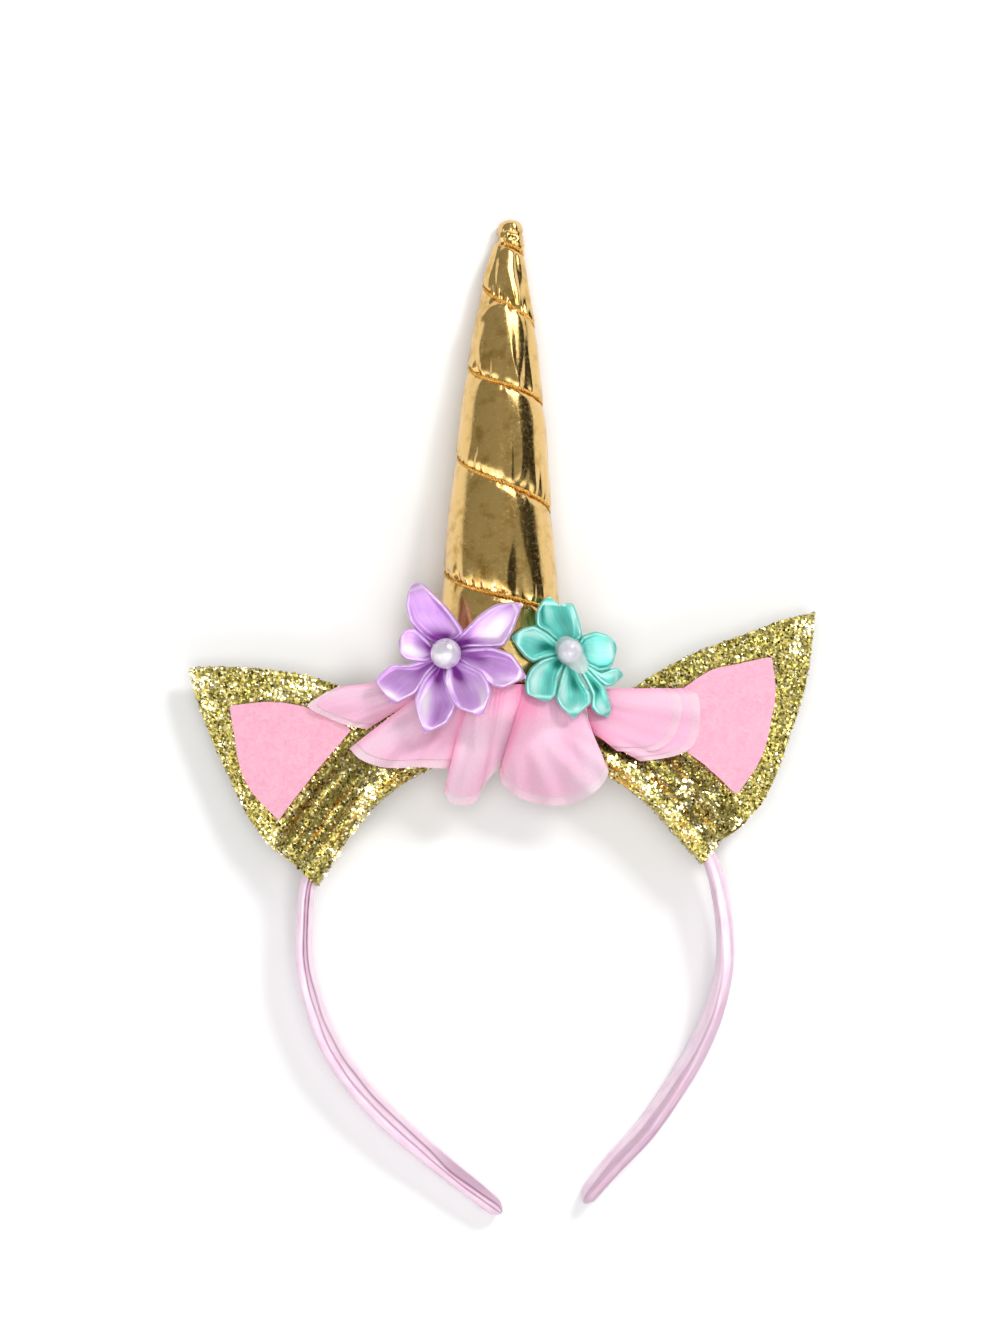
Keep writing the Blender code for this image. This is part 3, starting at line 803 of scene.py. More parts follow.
@dataclass
class HornForm:
    """The horn's sections and the turns of its cord."""

    # y, radius, x of the axis
    sections: SmoothTable = field(default_factory=lambda: SmoothTable([
        (-3.2, 11.0, -1.9), (0.0, 15.4, -1.8), (4.0, 17.0, -1.7), (20.0, 17.2, -1.3), (34.0, 16.7, -1.0),
        (57.4, 14.8, -1.0), (74.5, 13.2, -0.4), (91.6, 11.5, -0.2), (108.7, 9.3, 0.3), (119.0, 7.6, 0.6),
        (125.8, 6.4, 0.5), (132.7, 5.0, 1.1), (136.0, 4.3, 1.5), (139.5, 3.4, 2.0), (142.4, 1.6, 1.9)]))
    # half turn, y: even half turns are on the left, odd ones on the right
    crossings: SmoothTable = field(default_factory=lambda: SmoothTable([
        (-1.0, 139.4), (0.0, 136.9), (1.0, 132.4), (2.0, 123.3), (3.0, 111.6), (4.0, 99.6), (5.0, 89.1),
        (6.0, 74.2), (7.0, 58.6), (8.0, 41.2), (9.0, 28.4), (10.0, 14.5), (11.0, 2.0), (12.0, -12.0)]))
    sink: float = 0.2
    rest_from: float = 20.0
    rest_to: float = 139.5

    def axis(self, y: float) -> Vector:
        """Returns the centre of the section at y."""
        resting = min(self.rest_to, max(self.rest_from, y))
        return Vector((self.sections.read(y, 2), y, self.sections.read(resting) - self.sink))


PLAN = BandPlan()
HORN = HornForm()


@dataclass
class Drape:
    """How high soft cloth lies over the band, the ears and the horn's foot."""

    # distance outside the band's centreline, height over its middle
    roof: SmoothTable = field(default_factory=lambda: SmoothTable([
        (-26.0, -6.0), (-16.0, -0.5), (-8.0, 5.4), (-3.0, 7.7), (2.0, 7.6), (4.0, 6.5), (9.0, 3.9),
        (14.0, 1.7), (60.0, -5.2)]))
    # y, height over the horn's foot
    ridge: SmoothTable = field(default_factory=lambda: SmoothTable([
        (-24.0, 13.0), (-12.0, 23.0), (-8.0, 26.0), (-4.0, 29.8), (0.0, 33.6), (3.0, 34.9), (9.0, 35.4)]))
    ridge_half: float = 6.0
    ridge_fall: float = 0.75
    soften: float = 0.8
    pleat_centre: Pair = (0.4, 9.0)
    pleat_step: float = 15.0
    pleat_height: float = 1.5
    pleat_from: float = 12.0
    pleat_full: float = 34.0

    def height(self, x: float, y: float) -> float:
        """Works out the cloth's height over a plan point, with its pleats.

        Args:
            x: place across.
            y: place along the horn's way.

        Returns:
            The height in millimetres.
        """
        roof = PLAN.mid_height(y) + self.roof.read(PLAN.outward(x, y))
        aside = max(0.0, abs(x - HORN.sections.read(y, 2)) - self.ridge_half)
        tent = self.ridge.read(y) - self.ridge_fall * aside
        high = max(roof, tent)
        over = high + self.soften * log(exp((roof - high) / self.soften) + exp((tent - high) / self.soften))
        dx, dy = x - self.pleat_centre[0], y - self.pleat_centre[1]
        grown = ease((hypot(dx, dy) - self.pleat_from) / (self.pleat_full - self.pleat_from))
        turn = atan2(dx, -dy) * 180.0 / pi
        return over + self.pleat_height * grown * (0.5 - 0.5 * cos(2.0 * pi * turn / self.pleat_step))


DRAPE = Drape()


# The pieces


@dataclass
class Band:
    """The hair band: a plastic core covered with satin ribbon that is lapped along its inside."""

    # x, y, width, thickness, roll in degrees, from the ear to the tip
    left_arm: Table = (
        (-56.7, -57.7, 11.0, 4.4, 2.0), (-56.8, -69.7, 11.0, 4.4, 4.0), (-54.3, -81.9, 11.0, 4.4, 7.0),
        (-49.2, -94.8, 10.8, 4.4, 11.0), (-41.2, -106.4, 10.4, 4.3, 15.0), (-30.9, -117.0, 10.0, 4.2, 17.0),
        (-17.8, -128.1, 9.2, 4.0, 17.0), (-6.1, -137.5, 8.4, 3.8, 15.0), (-2.4, -140.5, 6.8, 3.3, 15.0),
        (-0.6, -142.0, 3.6, 2.0, 15.0))
    right_arm: Table = (
        (61.7, -50.6, 11.0, 4.4, 2.0), (63.1, -62.0, 11.0, 4.4, 4.0), (62.8, -72.0, 11.0, 4.4, 6.0),
        (60.0, -84.2, 11.0, 4.4, 9.0), (55.4, -95.3, 10.8, 4.4, 12.0), (49.4, -105.6, 10.4, 4.3, 15.0),
        (40.9, -117.8, 10.0, 4.2, 17.0), (32.3, -127.3, 9.2, 4.0, 17.0), (26.4, -134.3, 8.4, 3.8, 15.0),
        (24.2, -137.3, 6.8, 3.3, 15.0), (23.0, -139.0, 3.6, 2.0, 15.0))
    # share of half the thickness (outward), share of half the width, from the back's middle to the lap;
    # the other half mirrors it
    half_section: Table = (
        (1.00, 0.00), (0.99, 0.30), (0.92, 0.58), (0.72, 0.82), (0.42, 0.95), (0.10, 1.00), (-0.28, 1.00),
        (-0.60, 0.97), (-0.86, 0.87), (-0.98, 0.70), (-1.02, 0.52), (-0.99, 0.46), (-0.95, 0.42),
        (-0.95, 0.00))
    arc_stations: int = 28
    stations: int = 340
    around: int = 96
    ripple: float = 0.16
    groove: float = 0.4
    # share of the rows, share of the way round: most rows lie where the light falls
    rows_round: Table = ((0.0, 0.0), (0.06, 0.10), (0.5, 0.37), (0.8, 0.63), (1.0, 1.0))
    # y, two creases as shares of the width seen from above (0 is the inner side), tone of the three strips,
    # painted light and shade for how each strip faces the light
    left_strips: Table = ((-142.0, 0.25, 0.5, 0.45, 0.85, 0.85), (-131.0, 0.42, 0.6, 0.3, 0.8, 0.88),
                          (-122.0, 0.28, 0.5, 0.8, 0.9, 0.88), (-100.0, 0.24, 0.47, 0.85, 0.9, 0.95),
                          (-80.0, 0.2, 0.44, 0.95, 0.8, 1.0), (-64.0, 0.25, 0.46, 1.0, 0.5, 1.0),
                          (-50.0, 0.25, 0.48, 1.0, 0.45, 1.0))
    right_strips: Table = ((-142.0, 0.3, 0.8, 0.85, 0.55, 0.6), (-130.0, 0.3, 0.85, 0.95, 0.5, 0.55),
                           (-115.0, 0.3, 0.85, 1.0, 0.52, 0.58), (-100.0, 0.35, 0.9, 1.0, 0.6, 0.62),
                           (-80.0, 0.4, 0.92, 1.0, 0.65, 0.75), (-62.0, 0.25, 0.75, 0.75, 1.0, 0.8),
                           (-50.0, 0.25, 0.72, 0.6, 1.0, 0.92))

    def build(self) -> None:
        """Builds the covered band."""
        rows = []
        for i in range(self.arc_stations + 1):
            angle = blend(PLAN.right_end, PLAN.left_end, i / self.arc_stations)
            rows.append((*PLAN.polar(angle, 0.0), PLAN.width, PLAN.thickness, 0.0))
        line, length = along_rows(list(reversed(self.right_arm)) + rows + list(self.left_arm))
        high, wide = PLAN.thickness / 2, PLAN.width / 2
        section = list(self.half_section) + [(a, -b) for a, b in reversed(self.half_section[:-1])]
        profile, girth = along_rows([(a * high, b * wide) for a, b in section])
        round_share = [row[0] for row in self.rows_round], [row[1] for row in self.rows_round]
        strips = {Side.LEFT: SmoothTable(self.left_strips), Side.RIGHT: SmoothTable(self.right_strips)}

        def around(v: float) -> Pair:
            """Returns the section's point at v, as shares of its two halves."""
            key = float(np.interp(v, *round_share)) * girth
            return profile.read(key, 1) / high, profile.read(key, 2) / wide

        def crease(run: float, a: float, b: float) -> Pair:
            """Finds the ribbon's two long creases and the strips between them.

            Args:
                run: distance along the band.
                a: outward share of the section's point.
                b: upward share of it.

            Returns:
                How deep the crease is there, from 0 to about 1, and the strip's tone of painted light and
                shade.
            """
            x, y, width, thick, roll = (line.read(run, c) for c in range(1, 6))
            rows = strips[Side.LEFT if x < PLAN.centre[0] else Side.RIGHT]
            first, second, *tones = (rows.read(max(-142.0, min(-50.0, y)), c) for c in range(1, 6))
            lean = radians(roll)
            flat, tall = thick / 2 * cos(lean), width / 2 * sin(lean)
            share = (a * flat + b * tall + flat + tall) / (2.0 * (flat + 0.9 * tall))
            wander = 0.035 * waves(run * 0.1, 3.0, 1.0)
            near, far = share - first - wander, share - second + wander
            top = ease((b - 0.2 + 1.2 * (a < -0.7)) / 0.4)
            deep = exp(-(near / 0.04) ** 2) + 0.8 * exp(-(far / 0.045) ** 2)
            deep *= 0.3 if x > PLAN.centre[0] else 1.15
            # painted light and shade: each strip is lighter or darker by how it faces the light
            tone = blend(blend(tones[0], tones[1], ease(near / 0.06 + 0.5)), tones[2], ease(far / 0.06 + 0.5))
            return deep * top, blend(1.0, tone, top)

        def place(u: float, v: float) -> Point:
            """Wraps the ribbon round the band.

            Args:
                u: share of the way along the band.
                v: share of the way round it.

            Returns:
                The ribbon's point in millimetres.
            """
            run, step = u * length, 0.4
            x, y, width, thick, roll = (line.read(run, c) for c in range(1, 6))
            ax, ay = (line.read(max(0.0, run - step), c) for c in (1, 2))
            bx, by = (line.read(min(length, run + step), c) for c in (1, 2))
            along = Vector((bx - ax, by - ay, 0.0)).normalized()
            out, turn = Vector((along.y, -along.x, 0.0)), radians(roll)
            face = out * cos(turn) - Vector((0, 0, sin(turn)))
            edge = out * sin(turn) + Vector((0, 0, cos(turn)))
            a, b = around(v)
            deep, _ = crease(run, a, b)
            side, top = cos(2 * pi * v), sin(2 * pi * v)
            fold = self.ripple * waves(run * 0.045, side * 1.7, top * 1.7)
            fine = 0.05 * waves(run * 0.35, side * 5.0, top * 5.0)
            swell = 1.0 + (fold + fine) / 3.2
            shrink = blend(0.4, 1.0, ease(min(run, length - run) / 1.6))
            point = Vector((x, y, PLAN.mid_height(y))) + face * (a * thick / 2 * swell * shrink)
            point += edge * (b * width / 2 * swell * shrink) - Vector((0.0, 0.0, self.groove * deep))
            return point.x, point.y, max(0.02, point.z)

        def tone(u: float, v: float) -> float:
            """Returns the strip's painted light and shade, with painted shade in the creases."""
            deep, strip = crease(u * length, *around(v))
            # painted shade in the creases
            return max(0.0, strip - 0.7 * deep)

        obj = shaped_grid("band_ribbon", self.stations, self.around, place,
                          lambda u, v: (u * length, v * girth, 0.0), weld=True, mark=tone)
        close_ends(obj)
        settle(obj, PINK_SATIN, ["band"])


@dataclass
class Horn:
    """The stuffed horn: foil cloth that swells between the cord's turns and puckers at them."""

    columns: int = 132
    rows_a_turn: int = 30
    spare_turns: int = 2
    low: float = 4.0
    high: float = 139.0
    groove: float = 1.25
    groove_half: float = 0.9
    settle_depth: float = 0.55
    settle_over: float = 4.0
    spike_depth: float = 2.2
    deepest: float = 1.6
    pucker_above: float = 1.0
    pucker_below: float = 0.3
    tip_from: float = 133.0
    tip_crumple: float = 0.5
    fold_height: float = 0.55
    # x, y of the smooth fold under the first turn
    fold: SmoothTable = field(default_factory=lambda: SmoothTable([
        (-6.6, 114.6), (-3.0, 117.0), (0.5, 117.6), (4.0, 116.6), (8.0, 113.4), (10.7, 109.8)]))
    # y and radius of the rings that close the foot and the tip
    foot_rings: Table = ((2.0, 16.4), (0.0, 15.4), (-1.8, 13.4), (-3.2, 11.0), (-3.6, 5.0))
    tip_rings: Table = ((139.9, 3.5), (140.8, 3.3), (141.6, 2.7), (142.2, 1.7), (142.4, 0.7))

    def under(self, start: float, x: float, y: float, z: float) -> float:
        """How far the cloth stays under its full size.

        Args:
            start: the half turn at which the cord above this place is level with it.
            x: place across, on the plain cone.
            y: place along the horn.
            z: height on the plain cone.

        Returns:
            The depth in millimetres.
        """
        above, below = HORN.crossings.read(start) - y, y - HORN.crossings.read(start + 2.0)
        scale = min(1.0, (above + below) / 16.0)
        depth = 0.0
        for gap in (above, below):
            gap = max(0.0, gap)
            depth += self.groove * exp(-(gap / self.groove_half) ** 1.5)
            depth += self.settle_depth * scale * exp(-gap / self.settle_over)
        spike = max(0.0, 1.7 * waves(x * 0.3 + 3.0, y * 0.03, z * 0.3) + 0.35)
        spike = spike * ease((x + 10.0) / 9.0) * ease((11.0 - x) / 5.0)
        depth += self.spike_depth * scale * spike * exp(-max(0.0, below) / (2.0 + 5.0 * spike))
        depth = self.deepest * tanh(depth / self.deepest)
        long_streak = 0.5 + 0.5 * waves(x * 0.2 + 7.0, y * 0.03, z * 0.2)
        crease = abs(waves(x * 0.42, y * 0.05, z * 0.42)) - 0.22
        lively = scale * (0.4 + 1.1 * long_streak)
        upper = self.pucker_above * exp(-max(0.0, below - 0.6) / (1.2 + 4.2 * long_streak))
        lower = self.pucker_below * exp(-max(0.0, above - 0.6) / 1.8)
        puckers = crease * lively * (upper + lower)
        swells = 0.22 * waves(x * 0.07, y * 0.09, z * 0.07) * scale
        if z > 0.0 and -8.0 < x < 12.0:
            away = (y - self.fold.read(x)) / (0.55 if y > self.fold.read(x) else 1.6)
            swells += self.fold_height * exp(-away * away) * ease(z / 3.0)
        return depth + 2.2 * puckers - swells

    def build(self) -> None:
        """Builds the horn; its rows follow the cord's winding."""
        turns = ceil(HORN.crossings.keys[-1] / 2) + self.spare_turns + 1
        rows = turns * self.rows_a_turn

        def place(u: float, v: float) -> Point:
            """Lays the cloth on the horn.

            Args:
                u: share of the way round the horn.
                v: share of the way along the winding.

            Returns:
                The cloth's point in millimetres.
            """
            row = v * rows / self.rows_a_turn
            half_turn = 2.0 * (row - self.spare_turns + u)
            y = HORN.crossings.read(half_turn)
            kept = min(self.high, max(self.low, y))
            radius, centre, turn = HORN.sections.read(kept), HORN.axis(kept), pi - 2.0 * pi * u
            side, top = cos(turn), sin(turn)
            if kept == y:
                start = half_turn - 2.0 * (row - int(row + 1e-6))
                radius -= self.under(start, radius * side, y, radius * top) * min(1.0, (self.high - y) / 1.5)
                rucks = waves(2.2 * side, y * 0.9, 2.2 * top)
                radius += self.tip_crumple * ease((y - self.tip_from) / 3.0) * rucks
            return (centre.x + radius * side, kept, max(0.03, centre.z + radius * top))

        obj = shaped_grid("horn_foil", self.columns, rows, place,
                          lambda u, v: (u * 100.0, v * rows, 0.0), weld=True)
        self.close_end(obj, self.low, self.foot_rings, 0.35)
        self.close_end(obj, self.high, self.tip_rings, 0.5)
        face_out(obj)
        bpy.ops.object.shade_smooth()
        settle(obj, GOLD_FOIL, ["horn"])

    @staticmethod
    def close_end(obj: Piece, start: float, rings: Table, crumple: float) -> None:
        """Extrudes an open end ring by ring and closes it.

        Args:
            obj: the horn.
            start: y of the open ring.
            rings: y and radius of each new ring.
            crumple: how far the cloth is crumpled there.
        """
        mesh = obj.data
        uses = Counter(key for polygon in mesh.polygons for key in polygon.edge_keys)
        for items in (mesh.polygons, mesh.edges, mesh.vertices):
            items.foreach_set("select", [False] * len(items))
        for edge in mesh.edges:
            ends = [mesh.vertices[i] for i in edge.vertices]
            if uses[edge.key] == 1 and all(abs(end.co.y - start * MM) < 0.05 * MM for end in ends):
                for item in (edge, *ends):
                    item.select = True
        for y, radius in rings:
            with edit_mode(obj, kind="EDGE"):
                bpy.ops.mesh.extrude_edges_move()
            centre = HORN.axis(y)
            for vertex in (v for v in obj.data.vertices if v.select):
                turn = atan2(vertex.co.z - centre.z * MM, vertex.co.x - centre.x * MM)
                ruck = crumple * waves(cos(turn) * 1.6, y * 0.8, sin(turn) * 1.6)
                reach = radius + ruck * min(1.0, radius / 3.0)
                vertex.co = Vector((centre.x + reach * cos(turn), y + 0.4 * ruck,
                                    max(0.03, centre.z + reach * sin(turn)))) * MM
        with edit_mode(obj):
            bpy.ops.mesh.edge_face_add()


@dataclass
class HornCord:
    """The gold cord wound round the horn, two plies twisted."""

    first_turn: float = 0.4
    last_turn: float = 9.8
    points: int = 1400
    groove: float = 1.8
    seat: float = 0.45
    diameter: float = 1.0
    pitch: float = 1.9
    ply: float = 0.29
    step: float = 0.2
    sides: int = 6

    def centre_line(self) -> list[tuple[Vector, Vector]]:
        """Winds the cord's middle line round the horn.

        Returns:
            Points along it with the way out from the horn at each.
        """
        under = self.groove - self.seat - self.diameter / 2
        made = []
        for i in range(self.points + 1):
            half_turn = blend(self.first_turn, self.last_turn, i / self.points)
            y = HORN.crossings.read(half_turn)
            radius, turn = HORN.sections.read(y) - under, pi - pi * half_turn
            out = Vector((cos(turn), 0.0, sin(turn)))
            made.append((HORN.axis(y) + out * radius, out))
        return made

    def build(self) -> None:
        """Builds the cord."""
        line = self.centre_line()
        runs = [0.0]
        for (a, _), (b, _) in zip(line, line[1:]):
            runs.append(runs[-1] + (b - a).length)
        length = runs[-1]
        steps = int(length / self.step)
        xyz = np.array([tuple(p) + tuple(o) for p, o in line])
        places = np.linspace(0, length, steps + 1)
        sampled = np.array([np.interp(places, runs, xyz[:, k]) for k in range(6)]).T
        plies = []
        for ply in range(2):
            rings = []
            for i in range(steps + 1):
                centre, out = Vector(sampled[i][:3]), Vector(sampled[i][3:]).normalized()
                ahead = Vector(sampled[min(steps, i + 1)][:3]) - Vector(sampled[max(0, i - 1)][:3])
                side = ahead.normalized().cross(out).normalized()
                turn = 2 * pi * i * self.step / self.pitch + pi * ply
                rings.append((centre + (out * cos(turn) + side * sin(turn)) * (self.diameter / 4), out, side))

            def place(u: float, v: float, rings: list = rings) -> Point:
                """Returns the ply's point at u along it and v round it."""
                spot, out, side = rings[round(u * steps)]
                return tuple(spot + (out * cos(2 * pi * v) + side * sin(2 * pi * v)) * self.ply)

            plies.append(shaped_grid(f"ply_{ply}", steps, self.sides, place,
                                     lambda u, v: (u * length, v * 2.0, 0.0), weld=True))
        obj = join_all(plies, "horn_yarn")
        close_ends(obj)
        settle(obj, GOLD_YARN, ["horn_cord"])


@dataclass
class Ear:
    """An ear: glitter cloth folded round the band, with loose-lying flakes and crinkles."""

    side: Side
    # angle round the band's centre in degrees, reach outward
    outline: Table
    # x, y, radius of places where the flakes lie flat and flash, and get light tints as painted highlight
    flashes: Table
    join: float = 14.0
    lean: float = 0.15
    bulge: float = 0.3
    gap: float = 0.35
    cloth: float = 1.1
    steps: Sequence[int] = (2, 2, 3, 3, 5, 7, 12, 12)
    rows_a_span: int = 5
    flakes: int = 7000

    def __post_init__(self) -> None:
        """Works out where the fold's inside ends and where the ear starts and stops."""
        self.out = PLAN.thickness / 2 + self.gap + self.cloth
        self.start, self.end = self.outline[0][0], self.outline[-1][0]

    def height(self, y: float, out: float) -> float:
        """Returns the height of the ear's middle surface."""
        return PLAN.mid_height(y) - self.lean * max(0.0, out - self.out)

    def profile(self, reach: float) -> list[Pair]:
        """The upper half of a section, from the inner side to the rim.

        Args:
            reach: how far out the ear goes there.

        Returns:
            Distance outward and height over the middle of each point.
        """
        half, out, cloth = PLAN.thickness / 2, self.out, self.cloth
        top = PLAN.width / 2 + self.gap + cloth
        join = min(self.join, reach - 0.5)
        slope = (blend(out, join, 0.5), blend(0.78 * top, cloth, 0.5) + self.bulge * (join > 2 * out))
        table, run = along_rows([
            (-out, 0.0), (-out, 0.75 * top), (-0.6 * half, top), (0.6 * half, top), (out, 0.78 * top),
            slope, (join, cloth), (blend(join, reach, 0.5), cloth), (reach, cloth)])
        keys = [blend(table.keys[i], table.keys[i + 1], k / count)
                for i, count in enumerate(self.steps) for k in range(count)] + [run]
        return [(table.read(key, 1), table.read(key, 2)) for key in keys]

    def end_size(self, angle: float) -> float:
        """Returns how much narrower the fold is near the ear's two ends."""
        return blend(0.78, 1.0, ease(min(abs(angle - self.start), abs(angle - self.end)) / 5.0))

    def end_cut(self, angle: float, out: float) -> float:
        """Returns the slant of the cloth's cut at the ear's lower end, in degrees."""
        away, slant = ((self.start - angle, -2.4) if self.side is Side.LEFT else (angle - self.end, 2.4))
        return slant * (max(-1.0, min(1.0, out / 3.65)) + 1.0) / 2.0 * ease(1.0 - away / 6.0)

    @staticmethod
    def crinkle(angle: float, out: float, rim: float) -> float:
        """How far the cloth is rucked at a place on the upper skin.

        Args:
            angle: degrees round the band's centre.
            out: distance outward.
            rim: share of the way from the fold to the rim.

        Returns:
            The height of the rucks in millimetres.
        """
        arc, wrap = angle * 1.05, ease((17.0 - out) / 9.0)
        rucks = waves(out * 0.55 + 0.25 * waves(arc * 0.2, out * 0.1, 3.0), arc * 0.075, 1.7)
        coarse = waves(out * 0.9, arc * 0.9, 5.2)
        return 1.0 * wrap * rucks + 0.16 * coarse * (0.35 + 0.65 * wrap) * (1.0 - 0.5 * rim)

    def build(self) -> None:
        """Builds the ear and its flakes."""
        rows = []
        tip = max(range(len(self.outline)), key=lambda i: self.outline[i][1])
        for half in (self.outline[:tip + 1], self.outline[tip:]):
            table, count = SmoothTable(half), (len(half) - 1) * self.rows_a_span
            rows += [(angle, table.read(angle)) for angle in
                     (blend(half[0][0], half[-1][0], i / count) for i in range(count + 1))]
        rows = [row for i, row in enumerate(rows) if not i or row != rows[i - 1]]
        halves = [self.profile(reach) for _, reach in rows]
        skin, sections = len(halves[0]), []
        for (angle, reach), upper in zip(rows, halves):
            ring = []
            for k, (n, h) in enumerate(upper + [(n, -h) for n, h in reversed(upper[1:])]):
                x, y = PLAN.polar(angle + self.end_cut(angle, n), n * self.end_size(angle))
                rim = min(1.0, max(0.0, (n - 3.65) / max(1.0, reach - 3.65)))
                lift = 0.0
                if self.steps[0] <= k < skin:
                    lift = self.crinkle(angle, n, rim) * min(1.0, (skin - 1 - k) / 3.0)
                ring.append((x, y, self.height(y, n) + h + lift))
            sections.append(ring + ring[:1])
        across, along = len(sections[0]) - 1, len(sections) - 1

        def place(u: float, v: float) -> Point:
            """Returns the skin's point at u round a section and v along the band."""
            return sections[round(v * along)][round(u * across)]

        def out_of(u: float, v: float) -> Pair:
            """Returns the angle and the distance outward of the same point."""
            row, k = round(v * along), round(u * across)
            return rows[row][0], halves[row][min(k, 2 * skin - 2 - k) if k >= skin else k][0]

        def painted_fold_shade(u: float, v: float) -> float:
            """Tells how much painted shade the cloth gets, most on the fold.

            Args:
                u: share of the way round a section.
                v: share of the way along the band.

            Returns:
                The painted shade from 0 to 1.
            """
            angle, out = out_of(u, v)
            ends = min(abs(angle - self.start), abs(angle - self.end))
            return 0.85 * ease((18.0 - out) / 6.0) * ease((ends - 4.0) / 8.0)

        name = f"ear_{self.side.value}"
        obj = shaped_grid(f"{name}_cloth", across, along, place,
                          lambda u, v: (out_of(u, v)[0] * 1.05, out_of(u, v)[1], 0.0), weld=True, mark=painted_fold_shade)
        flakes = self.scatter(obj, f"{name}_flakes")
        give_wall(obj, self.cloth - 0.15, -1.0)
        settle(obj, GOLD_GLITTER, [name])
        settle(flakes, GOLD_FLAKES)
        self.cut_area()

    def cut_area(self) -> float:
        """Adds up the flat area of the ear's cut.

        Returns:
            The area of both layers in square metres.
        """
        area = 0.0
        for (a, near), (b, far) in zip(self.outline, self.outline[1:]):
            reach = (near + far) / 2
            area += radians(abs(a - b)) * ((60.0 + reach) ** 2 - 56.35 ** 2) / 2
            area += radians(abs(a - b)) * 60.0 * 8.0
        return 2.0 * area * MM * MM

    def scatter(self, obj: Piece, name: str) -> Piece:
        """Lays flakes on the skin, each a little tipped.

        Args:
            obj: the ear's skin.
            name: the flakes' name.

        Returns:
            One object with all flakes.
        """
        rng = random.Random(len(name) * 7 + 1)
        mesh = obj.data
        areas = np.array([p.area * (1.0 if p.normal.z > 0.1 else 0.35) for p in mesh.polygons])
        picks = np.searchsorted(np.cumsum(areas) / areas.sum(), [rng.random() for _ in range(self.flakes)])
        points, faces, tints = [], [], []
        for pick in picks:
            polygon = mesh.polygons[int(min(pick, len(mesh.polygons) - 1))]
            corners = [mesh.vertices[i].co for i in polygon.vertices]
            a, b = sorted((rng.random(), rng.random()))
            spot = corners[0] * a + corners[1] * (b - a) + corners[2] * (1 - b)
            if len(corners) == 4 and rng.random() < 0.5:
                spot = corners[0] * a + corners[2] * (b - a) + corners[3] * (1 - b)
            normal = (polygon.normal + Vector([rng.gauss(0, 0.22) for _ in range(3)])).normalized()
            side = normal.cross(Vector((rng.random(), rng.random(), rng.random()))).normalized()
            size = rng.choice((0.26, 0.34, 0.44)) * MM
            stretch = rng.uniform(0.6, 1.0)
            centre = spot + polygon.normal * rng.uniform(0.08, 0.26) * MM
            flash = max([1.0 - hypot(spot.x / MM - x, spot.y / MM - y) / r for x, y, r in self.flashes]
                        + [0.0])
            if flash > 0.1 + rng.random() * 0.8:
                shake = Vector([rng.gauss(0, 0.07) for _ in range(3)])
                normal = (Vector((0.0, -0.13, 1.0)) + shake).normalized()
                side = normal.cross(Vector((1.0, 0.3, 0.0))).normalized()
                size *= 1.3
            other = normal.cross(side)
            faces.append(tuple(range(len(points), len(points) + 6)))
            for k in range(6):
                turn = pi / 3 * k
                points.append(centre + side * (size * cos(turn)) + other * (size * stretch * sin(turn)))
            # flakes in a flash place lie flat and also get light tints, a painted highlight
            tints.append(rng.random() if flash <= 0.0 else 0.78 + 0.2 * rng.random())
        made = bpy.data.meshes.new(name)
        made.from_pydata([tuple(p) for p in points], [], faces)
        flakes = bpy.data.objects.new(name, made)
        bpy.context.scene.collection.objects.link(flakes)
        store_float(flakes, "tint", "FACE", tints)
        return flakes


@dataclass
class FeltPanel:
    """A felt panel glued on the front of an ear."""

    side: Side
    # angle, near reach, far reach
    rows: Table
    wall: float = 1.0
    strips: int = 26
    columns: int = 64
    fuzz: float = 0.12

    def build(self, ear: Ear) -> None:
        """Builds the panel on its ear.

        Args:
            ear: the ear that it lies on.
        """
        table = SmoothTable(self.rows)
        tip = max(self.rows, key=lambda row: row[2])[0]
        halves = [SmoothTable([r for r in self.rows if r[0] >= tip]),
                  SmoothTable([r for r in self.rows if r[0] <= tip])]
        first, last = self.rows[0][0], self.rows[-1][0]
        share = (first - tip) / (first - last)

        def place(u: float, v: float) -> Point:
            """Lays the panel on the ear.

            Args:
                u: share of the way round the band.
                v: share of the way outward.

            Returns:
                The panel's point in millimetres.
            """
            angle = (blend(first, tip, u / share) if u <= share
                     else blend(tip, last, (u - share) / (1 - share)))
            near, far = table.read(angle, 1), halves[0 if u <= share else 1].read(angle, 2)
            ragged = self.fuzz * waves(angle * 2.3, v * 9.0, 2.0)
            out = blend(near, far, v) + ragged * (1 if v in (0.0, 1.0) else 0)
            x, y = PLAN.polar(angle, out)
            lift = 0.18 * waves(x * 0.09, y * 0.09, 4.0) + 0.05 * waves(x * 0.7, y * 0.7, 8.0)
            return x, y, ear.height(y, out) + ear.cloth + ear.gap + lift

        obj = shaped_grid(f"ear_{self.side.value}_felt", self.columns, self.strips, place,
                          lambda u, v: (u * 40.0, v * 30.0, 0.0))
        give_wall(obj, self.wall)
        settle(obj, PINK_FELT, [f"ear_felt_{self.side.value}"])


